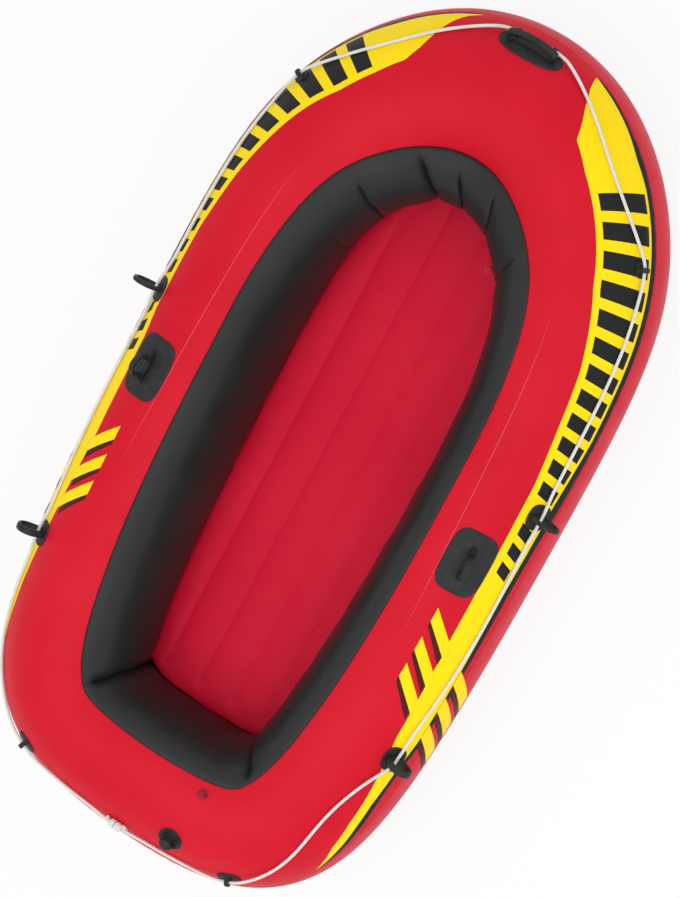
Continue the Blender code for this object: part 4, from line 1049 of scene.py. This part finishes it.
def makeOralValves():
    pivot, axis = jointFrame("chamber_plug_lift")
    up = seatFrame(oralSeat)[0][:, 2]
    up = unit(up - axis * up.dot(axis))
    axes = np.stack([np.cross(axis, up), axis, up], 1)
    height = oralValve["rise"] + gap + oralValve["discThick"] / 2
    origin = pivot - axes @ np.array([oralValve["hinge"], 0, height])
    makeOralValve("chamber", (axes, origin), redMoulding, "red_vinyl", oralSeat)
    origin = np.array([*floorSheets["valve"], floorSheets["height"] + gap])
    makeOralValve("floor", (np.eye(3), origin), floorMoulding, "floor_red_vinyl")


makeScrewValve()
makeOralValves()
print("valves made")


# Grab rope: three-strand cord threaded through its holds and joined by a knot at the stern. middles
# are the angles halfway between its holds, for starboard (1) and port (-1).

grabRope = {
    "radius": 3.5, "rest": 1.0, "reach": 38, "straight": 3, "step": 2.5, "facets": 21,
    "strandPitch": 24, "layPitch": 12,
    "middles": {1: (37, 49.5, 54, 30, 47), -1: (37, 50, 54, 55, 47)},
    "wideHole": 10, "holeGap": 0.9, "knotAngle": 44, "knotHalf": 15, "knotRadius": 4.7,
    "knotTurns": 2.6, "knotStart": 1.2, "knotRun": 12.5, "knotTail": 9,
}


def cordSheath():
    # Braided polypropylene cord: three strands laid round each other, matt white fibres about
    # 0.1 mm thick, drawn as 1.2 mm lines along the lay, with painted shade, a little grey, in the
    # grooves.
    made, tree, shader = startMaterial("braidedWhiteCord")
    along = addNode(tree, "UVMap", {}, uv_map="cordLay").outputs["UV"]
    inputs = {"Vector": along, "Scale": 5.0, "Distortion": 1.2, "Detail": 2.0}
    lines = addNode(tree, "TexWave", inputs, wave_type="BANDS", bands_direction="DIAGONAL")
    lines = lines.outputs["Fac"]
    soil = addTexture(tree, "TexNoise", Scale=25.0, Detail=4.0).outputs["Fac"]
    # painted shade: grey in the grooves between the strands, times grey soil in random patches
    share = addMath(tree, "MULTIPLY", lines, soil)
    setInputs(tree, shader, {
        "Base Color": mixColours(tree, share, linear("dcdad5"), linear("faf9f6")),
        "Roughness": 0.78, "Normal": addBump(tree, lines, 0.25), "Sheen Weight": 0.25, "IOR": 1.49,
    })
    return made


whiteCord = cordSheath()


def ropeStops():
    # each hold as (length, angle, height, straight stretch), from the bow's eye to the knot. In a
    # wide hole the cord lies low.
    size, eye, pad = grabRope, bowHandle["eye"], bowHandle["padThick"]
    x, y = bowHandle["eyePlace"]
    rows = [(0.0, bowHandle["angle"] - math.degrees(y / tubeRadius), pad + eye["height"] + seatLift,
             x + eye["thick"] / 2 + size["straight"])]
    for part in fittings.values():
        if part["across"] == "x":
            height, radius = part["padThick"] + part["height"] + seatLift, part["hole"][1]
            if radius > size["wideHole"]:
                height -= radius - size["radius"] - size["holeGap"]
            straight = part["thick"] / 2 + size["straight"]
            rows.append((*pick(part["seat"], "length angle"), height, straight))
    height = size["knotRadius"] + size["radius"] + size["rest"]
    return sorted(rows) + [(pathLength / 2, size["knotAngle"], height, size["knotHalf"])]


def ropeHalf(side):
    # between two holds the angle runs straight, plus a sag sin; near each hold the cord lifts to
    # the hole by a bell exp(-(past/reach)^2), where past is the way beyond its straight stretch
    size, stops = grabRope, ropeStops()
    rest, end = size["radius"] + size["rest"], pathLength / 2
    length = np.linspace(0, end, int(end / size["step"]))
    rise, angle = np.zeros(len(length)), np.zeros(len(length))
    for place, _, height, straight in stops:
        past = np.maximum(0, np.abs(length - place) - straight)
        rise = np.maximum(rise, (height - rest) * bell(past, size["reach"]))
    for a, b, middle in zip(stops, stops[1:], size["middles"][side]):
        share = np.clip((length - a[0] - a[3]) / (b[0] - b[3] - a[0] - a[3]), 0, 1)
        sag = (middle - (a[1] + b[1]) / 2) * np.sin(math.pi * share)
        inside = (length >= a[0]) & (length <= b[0])
        angle = np.where(inside, a[1] + (b[1] - a[1]) * share + sag, angle)
    return length, angle, rest + rise


def strandedTube(name, path, out, closed, nodes):
    # a three-lobed section radius*(0.84 + 0.16|cos(1.5 turn)|^0.7), turning once per strand pitch
    radius = grabRope["radius"]
    travel = np.gradient(path, axis=0)
    if closed:
        travel[[0, -1]] = travel[1] + travel[-2]
    travel = unit(travel)
    out = unit(out - travel * (out * travel).sum(1)[:, None])
    side = np.cross(travel, out)
    along = np.r_[0, np.cumsum(np.linalg.norm(np.diff(path, axis=0), axis=1))][:, None]
    twist = 2 * math.pi * along / grabRope["strandPitch"]
    turn = np.linspace(0, 2 * math.pi, grabRope["facets"] + 1)
    lobes = radius * (0.84 + 0.16 * np.abs(np.cos(1.5 * (turn - twist))) ** 0.7)
    if not closed:
        lobes[[0, -1]] = 0.0
        lobes[[1, -2]] *= 0.8
    c, s = np.cos(turn)[:, None], np.sin(turn)[:, None]
    points = path[:, None] + lobes[..., None] * (c * out[:, None] + s * side[:, None])
    lay = np.stack(np.broadcast_arrays(along / grabRope["layPitch"], turn / (2 * math.pi)), -1)
    laySurface(name, points, whiteCord, nodes=nodes, slot="rope", uv=lay)


def makeRope():
    starboard, port = ropeHalf(1), ropeHalf(-1)
    port = (-port[0][:0:-1], port[1][:0:-1], port[2][:0:-1])
    length, angle, height = (np.concatenate(pair) for pair in zip(port, starboard))
    for _ in range(5):
        angle = np.r_[angle[:1], (angle[:-2] + 2 * angle[1:-1] + angle[2:]) / 4, angle[-1:]]
    path = roundTube(length, angle, tubeRadius + height)
    path[-1] = path[0]
    strandedTube("grabRopeCord", path, path - roundTube(length, angle, 0), True, ["grab_rope"])
    print("rope length %.2f m" % (np.linalg.norm(np.diff(path, axis=0), axis=1).sum() * mm))


def makeKnot():
    # a double fisherman's knot: turns of each end round the other, side by side, and short tails
    size = grabRope
    radius = size["radius"]
    core = size["knotRadius"] + radius + size["rest"]
    t = np.linspace(0, 1, 150)
    wraps = size["knotTurns"] * 2 * math.pi * t
    tail = stepUp(t, 0.86, 1.0)
    reach = 2 * radius * 0.94 * (1 + 0.25 * tail)
    lift = np.maximum(core + reach * np.cos(wraps) * 0.98, radius + 0.8)
    for sign, word, nodes in ((1, "A", ["rope_knot"]), (-1, "B", [])):
        along = size["knotStart"] + size["knotRun"] * t + size["knotTail"] * tail
        length = pathLength / 2 + sign * along
        angle = size["knotAngle"] + np.degrees(sign * reach * np.sin(wraps) / tubeRadius)
        out = roundTube(length, angle, 1) - roundTube(length, angle, 0) + 0.001
        path = roundTube(length, angle, tubeRadius + lift)
        strandedTube("ropeKnotTurn" + word, path, out, False, nodes)


makeRope()
makeKnot()
print("rope laid and knotted")


def dressNode(names, finish):
    for name in names:
        materials = frame["nodes"][name].data.materials
        materials.clear()
        materials.append(finish)


beams = [f"floor_beam_{n + 1}" for n in range(floorSheets["beams"])]
dressNode(["valve_insert_seal", "valve_cap_seal", "valve_flap"], blackRubber)
dressNode(["valve_tether"], blackMoulding)
dressNode(["chamber_wall", "floor_edge_band"] + beams, lowerRedVinyl)
print("hidden sheets and seals dressed")


# Studio: a pale floor that keeps the boat's shadow, white beyond it, and two soft lamps. A lamp is
# (place, power, size).
studio = {
    "floorSize": 14, "floorDrop": 0.0005, "floorWhite": 0.86, "sky": 0.84,
    "keyLamp": ((0.2, -1.2, 3.5), 36, 3.2), "fillLamp": ((2.6, 0.6, 2.4), 16, 2.4),
}


def whiteSeen(tree):
    # 1 for camera, glossy and transmission rays, which see plain white
    rays = addNode(tree, "LightPath", {}).outputs
    both = addMath(tree, "ADD", rays["Is Camera Ray"], rays["Is Glossy Ray"])
    return addMath(tree, "ADD", both, rays["Is Transmission Ray"], use_clamp=True)


def makeStudio():
    half, drop = studio["floorSize"] / 2, -studio["floorDrop"]
    mesh = bpy.data.meshes.new("studioFloor")
    corners = [(-half, -half, drop), (half, -half, drop), (half, half, drop), (-half, half, drop)]
    mesh.from_pydata(corners, [], [(0, 1, 2, 3)])
    addObject("studioFloor", mesh)
    made, tree, shader = startMaterial("paleStudioFloor")
    mesh.materials.append(made)
    pale, white = (0.9, 0.9, 0.9, 1), (1, 1, 1, 1)
    setInputs(tree, shader, {"Base Color": pale, "Roughness": 0.9, "Specular IOR Level": 0.1})
    glow = addNode(tree, "Emission", {"Color": white, "Strength": 1.0}).outputs[0]
    share = addMath(tree, "MULTIPLY", whiteSeen(tree), studio["floorWhite"])
    mixed = addNode(tree, "MixShader", {0: share, 1: shader.outputs[0], 2: glow}).outputs[0]
    setInputs(tree, tree.nodes["Material Output"], {"Surface": mixed})

    world = bpy.data.worlds.new("studioWorld")
    bpy.context.scene.world = world
    world.use_nodes = True
    tree = world.node_tree
    tree.nodes.clear()
    seen, light = (addNode(tree, "Background", {"Color": white, "Strength": strength}).outputs[0]
                   for strength in (1.0, studio["sky"]))
    mixed = addNode(tree, "MixShader", {0: whiteSeen(tree), 1: light, 2: seen}).outputs[0]
    addNode(tree, "OutputWorld", {"Surface": mixed})

    for name in ("keyLamp", "fillLamp"):
        place, power, size = studio[name]
        lamp = bpy.data.lights.new(name, "AREA")
        lamp.energy, lamp.size = power, size
        back = unit(np.array(place))
        setAxes(addObject(name, lamp), *levelAxes(back), back, place)
    bpy.context.scene.view_settings.view_transform = "Standard"


makeStudio()
print("studio lit")
